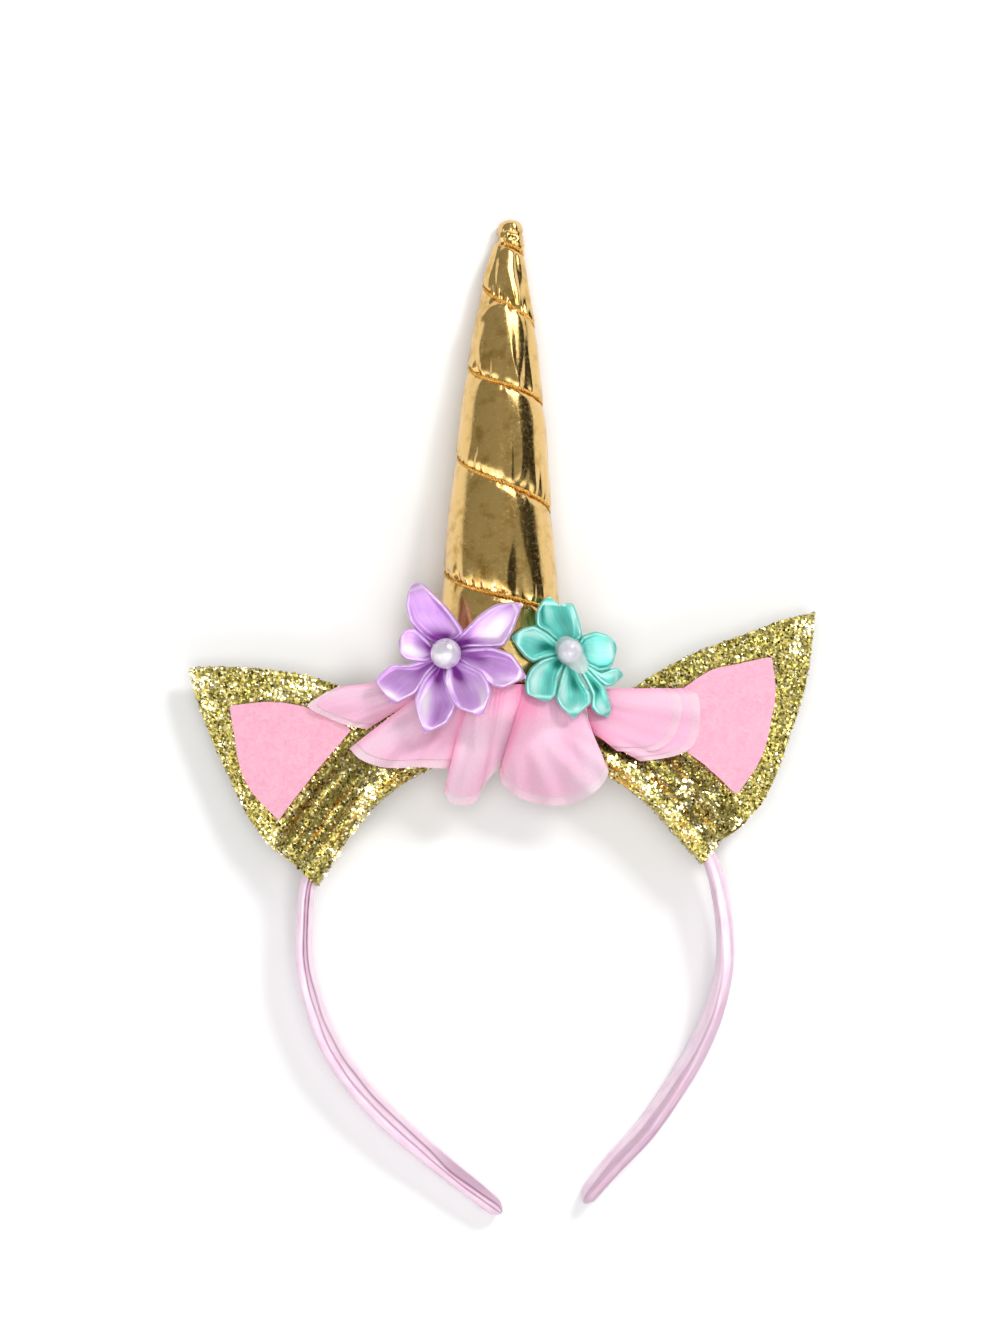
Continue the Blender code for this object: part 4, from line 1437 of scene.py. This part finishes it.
@dataclass
class ChiffonPetal:
    """One chiffon petal of the ruffle: two layers, the upper a little shorter than the lower."""

    name: str
    layer: int
    gather: Table
    hem: Table
    # place along the hem, half width and depth of the painted shade, in folds and over broader parts of the
    # petal
    folds: Table = ()
    layer_step: float = 1.75
    columns: int = 72
    rows: int = 28
    hem_strip: float = 2.7
    upper_lift: float = 0.35
    wall: float = 0.14
    shortest: float = 10.5

    def sheet(self, hem: SmoothTable, run: float, short: float, lift: float) -> Placer:
        """Shapes one layer.

        Args:
            hem: the hem's points by the distance along it.
            run: the hem's length.
            short: how much shorter the layer is.
            lift: how far it floats over the drape.

        Returns:
            The layer's point at u along the hem and v from the gather to the hem.
        """
        (ax, ay), (bx, by) = self.gather
        seed = float(len(self.name))

        def place(u: float, v: float) -> Point:
            """Drapes the layer from its gather to its hem.

            Args:
                u: share of the way along the hem.
                v: share of the way to the hem.

            Returns:
                The layer's point in millimetres.
            """
            hem_x, hem_y = hem.read(u * run, 1), hem.read(u * run, 2)
            start_x, start_y = blend(ax, bx, u), blend(ay, by, u)
            down = v * (1.0 - short / hypot(hem_x - start_x, hem_y - start_y))
            x, y = blend(start_x, hem_x, down), blend(start_y, hem_y, down)
            folds = 1.5 * waves(u * 4.6 + seed, down * 0.7, 2.0) * (0.15 + down)
            gathers = 0.3 * waves(u * 22.0, down * 1.2, seed) * exp(-down * 2.6)
            flutter = 0.3 * waves(u * 11.0, down * 2.0, seed) * down
            puff = 1.2 * sin(pi * min(1.0, down * 1.1)) * (1 if lift else 0.6)
            over = self.layer * self.layer_step * blend(0.35, 1.0, ease(down * 2.0))
            over += lift * ease(down * 3.0) + folds + gathers + flutter + puff
            return x, y, DRAPE.height(x, y) + over

        return place

    def tone(self, u: float, v: float) -> float:
        """Returns the painted shade at u along the hem and v down from the gather: darker near the gather, at
        the two sides and at the listed places.
        """
        shade = sum(deep * exp(-((u - spot) / half) ** 2) for spot, half, deep in self.folds)
        return max(0.0, 0.5 + 0.5 * ease(v * 2.4) * ease(min(u, 1.0 - u) / 0.1) - shade * (1.0 - 0.8 * v * v))

    def build(self) -> None:
        """Builds the lower layer and the upper one."""
        hem, run = along_rows(self.hem)
        for part, short, lift, finish in (("_under", 0.0, 0.0, THIN_CHIFFON),
                                          ("_top", self.hem_strip, self.upper_lift, PINK_CHIFFON)):
            obj = shaped_grid(self.name + part, self.columns, self.rows, self.sheet(hem, run, short, lift),
                              lambda u, v: (u * run, v * 25.0, 0.0), mark=self.tone)
            area = flat_area(obj)
            give_wall(obj, self.wall)
            settle(obj, finish, [self.name])
            length = max(self.shortest, area / MM / MM / run) * MM


@dataclass
class RibbonPetal:
    """One petal of folded ribbon: its two edges in plan, from the pearl to the point."""

    left: Table
    right: Table
    lift: float
    rim: float
    twist: float
    # place along, place across, their two radii, change of tone: painted highlight above zero, painted shade
    # below
    tones: Table


@dataclass
class RibbonFlower:
    """A flower of folded satin ribbon petals round a pearl."""

    name: str
    finish: SatinRibbon
    centre: Point
    rise: float
    pearl: float
    seat: float
    petals: Sequence[RibbonPetal]
    wall: float = 0.35
    columns: int = 48
    rows: int = 48
    contrast: float = 1.3
    crest: float = 0.5
    edge: float = 0.2
    wall_run: float = 2.6
    depth: float = 0.62
    crisp: float = 0.6
    tip_fold: float = 1.9

    def build_petal(self, index: int) -> None:
        """Builds one petal: a flat floor in a steep wall, a sharp crest and a sloping folded border.

        Args:
            index: which petal.
        """
        petal = self.petals[index]
        cx, _, height = self.centre
        sides = [along_rows(rows) for rows in (petal.left, petal.right)]
        wide = max(hypot(a[0] - b[0], a[1] - b[1]) for a, b in zip(petal.left, petal.right))
        length = hypot(petal.left[-1][0] - petal.left[0][0], petal.left[-1][1] - petal.left[0][1])

        def edge(side: int, u: float) -> Vector:
            """Returns a side's plan point at u: a smooth curve, made crisper by the straight one."""
            table, run = sides[side]
            return Vector([blend(table.read(u * run, c),
                                 float(np.interp(u * run, table.keys, [row[c] for row in table.rows])),
                                 self.crisp) for c in (1, 2)])

        def spot(u: float, v: float) -> tuple[float, float, float, Vector]:
            """Finds a place on the petal.

            Args:
                u: share of the way along the petal's columns.
                v: share of the way across its rows.

            Returns:
                Share along, place across from -1 to 1, distance from the rim and plan point.
            """
            u, across = 1.0 - (1.0 - u) ** 1.5, sin(pi * (v - 0.5))
            start, end = edge(0, u), edge(1, u)
            away = min((1.0 - abs(across)) * (end - start).length / 2.0,
                       (1.0 - u) * length * 0.8 * self.crest / self.tip_fold)
            return u, across, away, start.lerp(end, (across + 1.0) / 2.0)

        def place(u: float, v: float) -> Point:
            """Lays the ribbon in the petal's folds.

            Args:
                u: share of the way along the petal.
                v: share of the way across it.

            Returns:
                The ribbon's point in millimetres.
            """
            u, across, away, plan = spot(u, v)
            top = petal.rim * (0.7 + 0.55 * sin(pi * min(1.0, u * 1.05)))
            floor = 1.3 * ease((u - 0.2) / 0.3) + 0.9 * ease((u - 0.7) / 0.3)
            floor += 0.6 * sin(2.0 * pi * (u * 1.1 + 0.1 * index)) * ease((u - 0.3) / 0.2)
            floor = blend(top, min(floor, top), self.depth)
            floor += petal.twist * 1.2 * across * ease(u * 2.0)
            if away > self.crest:
                up = blend(top, floor, 1.0 - exp(-(away - self.crest) / self.wall_run * 2.0))
            elif away > self.edge:
                up = top - 0.35 * (self.crest - away) / (self.crest - self.edge)
            else:
                up = blend(0.3 * top, top - 0.35, away / self.edge)
            return plan.x, plan.y, height + self.rise * (plan.x - cx) + petal.lift * ease(u) + up + 0.2

        def tone(u: float, v: float) -> float:
            """Paints shade inside the petal, darkest near the pearl, painted highlight and shade in its
            listed patches, and painted highlight lines along its border's folds.

            Args:
                u: share of the way along the petal.
                v: share of the way across it.

            Returns:
                The tone.
            """
            u, across, away, _ = spot(u, v)
            # painted shade towards the pearl
            inner = 0.35 + 0.65 * ease((u - 0.05) / 0.3)
            for at, beside, long, broad, change in petal.tones:
                near = ((u - at) / long) ** 2 + ((across - beside) / broad) ** 2
                inner += self.contrast * change * exp(-near)
            # painted highlight lines on the crest and the outer edge
            border = ease((self.crest + 0.12 - away) / 0.15) * ease((u - 0.05) / 0.2)
            line = max(exp(-((away - self.crest) / 0.14) ** 2), exp(-(away / 0.12) ** 2))
            return blend(max(0.0, inner), 0.85 + 0.8 * line, border)

        obj = shaped_grid(f"{self.name}_ribbon_{index + 1}", self.columns, self.rows, place,
                          lambda u, v: (u * length, v * wide, 0.0), mark=tone)
        give_wall(obj, self.wall)
        settle(obj, self.finish, [f"{self.name}_petal_{index + 1}"])

    def build_pearl(self) -> None:
        """Builds the bead with a dimple at each end of its thread hole."""
        deselect()
        place = Vector((*self.centre[:2], self.centre[2] + self.seat)) * MM
        bpy.ops.mesh.primitive_uv_sphere_add(segments=48, ring_count=32, radius=self.pearl / 2 * MM)
        obj = bpy.context.object
        obj.name = obj.data.name = f"{self.name}_bead"
        with edit_mode(obj, "DESELECT", "VERT"):
            pass
        for vertex in obj.data.vertices:
            vertex.select = abs(vertex.co.z) > self.pearl / 2 * MM * 0.994
        with edit_mode(obj):
            bpy.ops.transform.resize(value=(1.0, 1.0, 0.78))
            bpy.ops.mesh.select_all(action="SELECT")
            bpy.ops.transform.rotate(value=radians(62), orient_axis="X", center_override=(0.0, 0.0, 0.0))
            bpy.ops.transform.translate(value=tuple(place))
        face_out(obj)
        bpy.ops.object.shade_smooth()
        settle(obj, PEARL_BEAD, [f"{self.name}_pearl"])

    def build(self) -> None:
        """Builds the petals and the pearl."""
        for i in range(len(self.petals)):
            self.build_petal(i)
        self.build_pearl()


@dataclass
class GlueDrop:
    """The clear glue that holds the aqua flower's pearl and runs out beside it."""

    pearl: Point
    # distance from the pearl's centre, height over it, radius
    balls: Table = ((-1.6, 0.3, 3.2), (0.2, 0.0, 3.9), (3.4, 0.4, 2.9), (5.4, 0.3, 2.2))
    turn: float = -52.0

    def build(self) -> None:
        """Builds the drop from balls that flow together."""
        turn, made = radians(self.turn), []
        for away, up, radius in self.balls:
            spot = (self.pearl[0] + away * cos(turn), self.pearl[1] + away * sin(turn), self.pearl[2] + up)
            deselect()
            bpy.ops.mesh.primitive_uv_sphere_add(segments=32, ring_count=24, radius=radius * MM)
            made.append(bpy.context.object)
            with edit_mode(made[-1], "SELECT"):
                bpy.ops.transform.translate(value=tuple(c * MM for c in spot))
        obj = join_all(made, "aqua_drop")
        apply_modifier(obj, "REMESH", mode="VOXEL", voxel_size=0.3 * MM)
        apply_modifier(obj, "SMOOTH", factor=0.6, iterations=12)
        bpy.ops.object.shade_smooth()
        settle(obj, CLEAR_GLUE, ["aqua_glue"])


@dataclass
class Studio:
    """White paper, soft lamps and a camera that looks straight down."""

    camera_height: float = 1.2
    centre: Pair = (-1.0, 14.5)
    frame_height: float = 379.9
    plane: float = 10.0
    # name, place in metres, side in metres, watts, the light that it leaves out: the key's shadows and
    # its image in the foil come from two lamps, as from a tall softbox
    lamps: Sequence[tuple[str, Point, float, float, str]] = (
        ("key", (0.72, 0.83, 1.18), 0.32, 9.5, "visible_glossy"),
        ("key_image", (0.66, 1.22, 0.74), 0.8, 8.55, "visible_diffuse"),
        ("window_right", (0.13, -0.42, 1.25), 0.24, 2.56, "visible_diffuse"),
        ("window_left", (-0.84, -0.46, 0.76), 0.16, 0.8, "visible_diffuse"),
        ("fill", (0.2, -0.95, 1.15), 0.28, 2.08, "visible_glossy"),
        ("ceiling", (0.0, 0.0, 2.6), 1.6, 30.0, "visible_glossy"))

    def build(self) -> None:
        """Builds the floor, the lamps, the surroundings and the camera."""
        scene = bpy.context.scene
        deselect()
        bpy.ops.mesh.primitive_plane_add(size=6.0, location=(0, 0, 0))
        floor = bpy.context.object
        floor.name = "paper_floor"
        floor.data.materials.append(WHITE_PAPER.material())
        floor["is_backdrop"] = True
        for name, place, size, power, left_out in self.lamps:
            data = bpy.data.lights.new(name, "AREA")
            data.size, data.energy = size, power
            lamp = bpy.data.objects.new(name, data)
            lamp.location = place
            lamp.rotation_mode = "QUATERNION"
            lamp.rotation_quaternion = Vector(place).to_track_quat("Z", "Y")
            setattr(lamp, left_out, False)
            scene.collection.objects.link(lamp)
        self.surroundings()
        data = bpy.data.cameras.new("camera")
        data.sensor_width = 36.0
        data.lens = 36.0 * (self.camera_height / MM - self.plane) / self.frame_height
        data.clip_start, data.clip_end = 0.05, 20.0
        camera = bpy.data.objects.new("camera", data)
        camera.location = (self.centre[0] * MM, self.centre[1] * MM, self.camera_height)
        scene.collection.objects.link(camera)
        scene.camera = camera
        scene.view_settings.view_transform = "Standard"

    @staticmethod
    def surroundings() -> None:
        """Bright walls, and for reflections a dimmer ceiling with a darker strip to the right."""
        world = bpy.data.worlds.new("studio")
        bpy.context.scene.world = world
        world.use_nodes = True
        tree = world.node_tree
        tree.nodes.clear()
        way = add_node(tree, "TexCoord", {}, {}).outputs["Generated"]
        x, y, z = add_node(tree, "SeparateXYZ", {}, {0: way}).outputs
        ceiling = add_node(tree, "ValToRGB", {
            "stops": [(0.0, "#b9b6ac"), (0.05, "#8f8e84"), (0.2, "#98978b"), (0.5, "#9f9e92"),
                      (1.0, "#a6a598")]}, {0: z})
        tilt = add_node(tree, "Math", {"operation": "ARCTAN2"}, {0: x, 1: z})
        scaled = add_node(tree, "Math", {"operation": "DIVIDE", 1: pi}, {0: tilt})
        strip = add_node(tree, "ValToRGB", {
            "stops": [(0.0, 1.0), (0.245, 1.0), (0.275, 0.25), (0.33, 0.13), (0.49, 0.1), (0.5, 0.3)]},
            {0: scaled})
        pitch = add_node(tree, "Math", {"operation": "ARCTAN2"}, {0: y, 1: z})
        skylight = add_node(tree, "MapRange", {1: radians(8.0), 2: radians(-8.0)}, {0: pitch})
        lit = add_node(tree, "Mix", {"data_type": "RGBA", MIX_B: (1.7, 1.7, 1.65, 1.0)},
                       {0: skylight, MIX_A: ceiling})
        seen = add_node(tree, "Mix", {"data_type": "RGBA", "blend_type": "MULTIPLY", 0: 1.0},
                        {MIX_A: lit, MIX_B: strip})
        glossy = add_node(tree, "LightPath", {}, {}).outputs["Is Glossy Ray"]
        pale = add_node(tree, "Mix", {"data_type": "RGBA", MIX_A: (0.4, 0.4, 0.4, 1.0)},
                        {0: glossy, MIX_B: seen})
        back = add_node(tree, "Background", {"Strength": 1.0}, {0: pale})
        add_node(tree, "OutputWorld", {}, {0: back})


# The headband's own pieces


LEFT_EAR = Ear(Side.LEFT, (
    (161.9, 4.7), (159.6, 6.0), (157.4, 12.6), (153.8, 22.6), (148.6, 34.5), (144.3, 46.4),
    (140.5, 57.8), (139.0, 61.6), (135.1, 53.4), (130.1, 43.2), (123.7, 30.3), (118.0, 18.4),
    (113.0, 8.4), (110.0, 4.7)), flashes=(
        (-57.0, 9.8, 5.0), (-64.0, 6.0, 3.0), (-86.0, 10.5, 4.0), (-84.5, 3.0, 3.0), (-42.3, -31.5, 2.8),
        (-40.5, -26.5, 3.2), (-38.3, -20.5, 3.4), (-34.8, -15.5, 3.0), (-31.0, -11.5, 2.2),
        (-46.0, -39.0, 3.2), (-49.0, -45.0, 2.6), (-66.0, -34.0, 2.4), (-57.0, -18.0, 1.8)))
RIGHT_EAR = Ear(Side.RIGHT, (
    (73.0, 4.7), (69.0, 11.3), (64.9, 22.1), (60.6, 32.9), (56.8, 42.5), (53.3, 51.6),
    (50.4, 61.3), (47.9, 68.7), (45.8, 62.6), (41.9, 52.2), (38.0, 40.9), (33.4, 29.5),
    (28.6, 16.3), (27.0, 9.6), (25.7, 5.4), (24.4, 4.7)), flashes=(
        (31.0, -11.5, 2.4), (36.5, -15.0, 3.0), (42.0, -19.0, 3.8), (48.5, -25.5, 3.8), (53.5, -32.0, 3.0),
        (51.0, -20.0, 3.4), (58.5, -23.0, 3.0), (60.0, -37.0, 3.0), (66.0, -30.0, 2.6), (85.5, 26.0, 3.4),
        (83.0, 19.0, 2.6), (63.5, -41.0, 2.2)))
# angle, near reach, far reach
LEFT_FELT = FeltPanel(Side.LEFT, (
    (150.9, 15.4, 16.4), (148.8, 15.3, 26.3), (146.1, 15.0, 33.0), (142.5, 14.8, 39.2),
    (139.3, 14.9, 45.7), (136.6, 15.1, 41.6), (134.2, 15.3, 37.8), (130.2, 15.9, 29.6),
    (126.3, 17.0, 18.0)))
RIGHT_FELT = FeltPanel(Side.RIGHT, (
    (60.2, 17.0, 18.0), (57.1, 15.8, 27.2), (54.6, 15.2, 36.9), (51.5, 14.8, 43.5),
    (48.4, 14.7, 50.9), (44.1, 15.5, 44.0), (41.6, 15.8, 38.3), (38.4, 16.4, 31.3),
    (36.4, 16.6, 25.0), (34.8, 17.0, 18.0)))
RUFFLE = (
    ChiffonPetal("ruffle_left_outer", 0, ((-20.5, 11.8), (-20.0, 8.6)),
                 ((-47.2, 8.7), (-51.7, 6.3), (-55.4, 3.3), (-50.6, 0.4), (-44.6, -2.1), (-38.4, -3.2)),
                 ((0.95, 0.2, 0.5),)),
    ChiffonPetal("ruffle_left_inner", 0, ((-20.5, 9.4), (-8.2, 9.4)),
                 ((-43.5, -8.7), (-40.6, -11.6), (-34.9, -13.8), (-29.5, -14.1), (-24.4, -13.8),
                  (-19.4, -14.1), (-15.4, -14.1)),
                 ((0.72, 0.12, 0.3), (0.98, 0.14, 0.5))),
    ChiffonPetal("ruffle_middle_left", 0, ((-9.4, 9.2), (7.6, 9.6)),
                 ((-16.9, -20.7), (-15.0, -24.1), (-8.4, -24.4), (-5.6, -19.5), (-2.1, -14.8),
                  (2.0, -13.4), (7.0, -12.7)),
                 ((0.52, 0.1, 0.3), (0.96, 0.2, 0.8))),
    ChiffonPetal("ruffle_middle_right", 1, ((5.8, 8.6), (22.4, 4.6)),
                 ((-1.2, -15.3), (-0.1, -18.9), (4.7, -22.7), (13.0, -24.9), (21.2, -23.8), (27.4, -19.2),
                  (29.5, -15.0), (26.2, -8.5)),
                 ((0.03, 0.15, 0.8), (0.22, 0.08, 0.2))),
    ChiffonPetal("ruffle_right_inner", 1, ((22.6, 8.2), (24.4, -3.2)),
                 ((47.4, 8.4), (49.9, 6.0), (50.4, 1.6), (49.4, -2.7), (47.3, -6.4), (43.7, -8.8),
                  (38.0, -9.5), (32.0, -9.3)),
                 ((0.95, 0.16, 0.45), (0.45, 0.07, 0.2), (0.5, 0.6, 0.35))),
    ChiffonPetal("ruffle_right_outer", 0, ((23.6, 6.6), (25.2, -4.6)),
                 ((53.0, 8.6), (55.1, 6.0), (55.7, 1.6), (55.4, -3.0), (53.8, -7.8), (50.4, -10.0),
                  (45.6, -11.4), (38.6, -12.2)),
                 ((0.5, 0.8, 0.3),)),
)
LAVENDER_FLOWER = RibbonFlower("lavender", LAVENDER_SATIN, (-16.1, 18.1, 29.9), 0.38, 8.6, 5.2, (
    RibbonPetal(((-18.6, 20.6), (-22.5, 23.2), (-26.1, 27.2), (-27.2, 31.9), (-26.4, 35.5), (-25.1, 37.7)),
                ((-15.6, 21.0), (-11.4, 24.0), (-14.9, 29.6), (-19.2, 34.1), (-22.7, 37.4), (-25.1, 37.7)),
                3.5, 3.2, -0.4,
                ((0.6, -0.1, 0.35, 0.8, 0.05), (0.5, 0.0, 0.5, 2.0, -0.1), (0.18, -0.2, 0.12, 0.8, -0.55),
                 (0.22, 0.7, 0.15, 0.22, 0.5), (0.93, 0.5, 0.12, 0.6, -0.3))),
    RibbonPetal(((-15.0, 20.8), (-11.2, 24.1), (-6.2, 29.0), (-1.9, 31.6), (1.9, 32.1), (4.9, 31.8)),
                ((-13.4, 19.2), (-9.5, 20.1), (-4.4, 20.1), (-0.1, 20.5), (2.5, 24.9), (4.9, 31.8)),
                0.5, 2.6, 0.0,
                ((0.55, 0.1, 0.24, 0.6, 0.95), (0.16, 0.2, 0.16, 0.8, -0.6), (0.9, -0.6, 0.12, 0.5, -0.3))),
    RibbonPetal(((-13.2, 18.6), (-9.5, 19.4), (-3.3, 19.7), (2.0, 17.8), (4.4, 14.7), (6.0, 11.6)),
                ((-13.8, 16.8), (-10.7, 15.3), (-6.7, 12.4), (-3.3, 9.3), (-0.1, 8.8), (6.0, 11.6)),
                0.0, 3.0, 0.35,
                ((0.3, -0.2, 0.16, 0.5, -0.6), (0.6, 0.0, 0.5, 2.0, -0.15), (0.75, 0.45, 0.25, 0.3, 0.4),
                 (0.5, 0.8, 0.3, 0.2, 0.35))),
    RibbonPetal(((-14.0, 16.4), (-10.7, 15.1), (-6.2, 12.8), (-4.4, 9.8), (-3.7, 7.0), (-6.1, 1.0)),
                ((-15.6, 15.8), (-15.9, 13.0), (-16.4, 10.4), (-15.2, 6.4), (-12.6, 3.1), (-6.1, 1.0)),
                5.0, 3.2, 0.0,
                ((0.24, 0.05, 0.17, 0.3, -1.2), (0.18, 0.75, 0.2, 0.22, 0.8), (0.75, -0.6, 0.2, 0.3, 0.5))),
    RibbonPetal(((-16.0, 15.4), (-16.1, 11.4), (-15.2, 7.0), (-13.5, 3.4), (-15.8, -1.0), (-21.9, -4.0)),
                ((-18.0, 15.6), (-20.9, 12.7), (-23.0, 9.8), (-24.8, 5.1), (-23.6, -0.1), (-21.9, -4.0)),
                3.0, 3.2, 0.2,
                ((0.16, 0.0, 0.18, 0.8, -0.8), (0.55, 0.5, 0.3, 0.35, 0.7), (0.7, -0.35, 0.28, 0.35, -0.35))),
    RibbonPetal(((-18.2, 15.8), (-21.3, 12.4), (-24.5, 7.3), (-27.8, 5.6), (-29.5, 4.6), (-31.2, 4.4)),
                ((-19.2, 17.0), (-23.8, 15.6), (-26.6, 14.9), (-31.8, 14.7), (-35.8, 10.7), (-31.2, 4.4)),
                2.5, 2.6, 0.0,
                ((0.3, -0.3, 0.2, 0.6, -0.4), (0.86, 0.2, 0.1, 0.8, 0.7), (0.55, 0.2, 0.2, 0.6, -0.15))),
    RibbonPetal(((-19.2, 17.2), (-21.8, 15.9), (-24.9, 16.1), (-27.2, 16.7), (-28.5, 18.1), (-29.2, 20.7)),
                ((-19.2, 19.4), (-21.8, 22.1), (-24.9, 24.9), (-27.2, 24.9), (-28.6, 22.9), (-29.2, 20.7)),
                6.0, 3.0, -0.3, ((0.5, -0.4, 0.3, 0.4, 0.85), (0.2, 0.5, 0.2, 0.5, -0.5)))))
AQUA_FLOWER = RibbonFlower("aqua", AQUA_SATIN, (18.4, 18.7, 27.6), -0.42, 6.6, 4.8, (
    RibbonPetal(((16.6, 20.6), (12.1, 24.4), (9.4, 26.1), (9.3, 29.5), (10.7, 32.3), (12.7, 33.8)),
                ((19.2, 20.8), (21.9, 23.2), (20.9, 27.9), (19.2, 32.0), (15.7, 31.4), (12.7, 33.8)),
                1.5, 3.0, -0.45,
                ((0.45, 0.2, 0.25, 0.4, -0.4), (0.7, -0.72, 0.3, 0.14, -0.7), (0.4, 0.85, 0.4, 0.2, 0.5),
                 (0.7, -0.35, 0.25, 0.25, 0.3))),
    RibbonPetal(((16.2, 18.2), (11.0, 17.0), (8.1, 16.0), (6.0, 17.5), (4.0, 20.1), (2.5, 22.6)),
                ((16.4, 20.0), (12.1, 23.8), (8.8, 25.7), (5.5, 24.9), (3.8, 23.8), (2.5, 22.6)),
                0.6, 2.8, 0.0,
                ((0.28, -0.1, 0.2, 0.45, -0.95), (0.6, 0.6, 0.3, 0.3, 0.5), (0.88, 0.0, 0.1, 0.8, 0.3))),
    RibbonPetal(((17.6, 16.6), (15.2, 11.3), (14.4, 6.8), (13.6, 5.9), (12.7, 5.3), (11.6, 5.0)),
                ((16.4, 17.8), (10.9, 16.3), (7.8, 13.9), (6.3, 10.9), (6.6, 7.1), (11.6, 5.0)),
                2.5, 2.8, 0.0,
                ((0.55, 0.5, 0.35, 0.35, 0.6), (0.5, -0.4, 0.3, 0.3, -0.3), (0.12, -0.4, 0.16, 0.6, -1.0))),
    RibbonPetal(((19.2, 16.4), (21.8, 10.7), (24.2, 6.7), (24.2, 4.4), (22.1, 2.4), (19.5, 0.2)),
                ((17.9, 16.4), (15.8, 10.4), (14.9, 5.8), (15.8, 3.8), (17.2, 2.4), (19.5, 0.2)),
                2.2, 3.0, 0.3,
                ((0.45, 0.7, 0.3, 0.3, 0.6), (0.38, -0.2, 0.18, 0.45, -0.85), (0.85, -0.3, 0.15, 0.5, 0.6))),
    RibbonPetal(((20.4, 16.9), (25.2, 12.1), (28.1, 9.0), (29.5, 5.0), (30.1, 2.3), (29.2, 0.5)),
                ((19.6, 16.4), (22.9, 10.9), (25.0, 6.7), (24.9, 3.3), (26.3, 1.4), (29.2, 0.5)),
                1.0, 2.2, 0.0, ((0.5, 0.0, 0.15, 0.8, -0.9), (0.8, 0.2, 0.18, 0.6, 0.5))),
    RibbonPetal(((21.0, 17.5), (24.7, 14.3), (27.5, 12.7), (30.5, 13.7), (32.1, 13.8), (33.5, 12.2)),
                ((20.6, 17.0), (24.7, 13.0), (27.2, 10.4), (29.2, 9.1), (30.6, 9.5), (33.5, 12.2)),
                2.5, 2.2, 0.0, ((0.6, -0.3, 0.3, 0.4, 0.5), (0.3, 0.3, 0.2, 0.5, -0.5))),
    RibbonPetal(((20.2, 19.8), (22.6, 23.1), (25.9, 24.1), (29.2, 23.1), (30.9, 21.5), (31.6, 19.8)),
                ((21.0, 18.0), (24.1, 14.7), (26.9, 13.4), (29.5, 13.9), (30.7, 16.0), (31.6, 19.8)),
                3.5, 2.6, 0.0,
                ((0.8, 0.1, 0.14, 0.8, 0.6), (0.45, 0.0, 0.25, 0.6, 0.2), (0.5, 0.9, 0.4, 0.14, -0.8)))))


def main() -> tuple[Vector, Vector]:
    """Builds every piece in order.

    Returns:
        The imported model's box, taken before anything is added.
    """
    logging.basicConfig(level=logging.INFO, format="%(message)s")
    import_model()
    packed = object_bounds()
    Studio().build()
    Band().build()
    Horn().build()
    HornCord().build()
    for ear, felt in ((LEFT_EAR, LEFT_FELT), (RIGHT_EAR, RIGHT_FELT)):
        ear.build()
        felt.build(ear)
    for petal in RUFFLE:
        petal.build()
    for flower in (LAVENDER_FLOWER, AQUA_FLOWER):
        flower.build()
    cx, cy, height = AQUA_FLOWER.centre
    GlueDrop((cx, cy, height + AQUA_FLOWER.seat)).build()
    return packed


if __name__ == "__main__":
    cad_box = main()
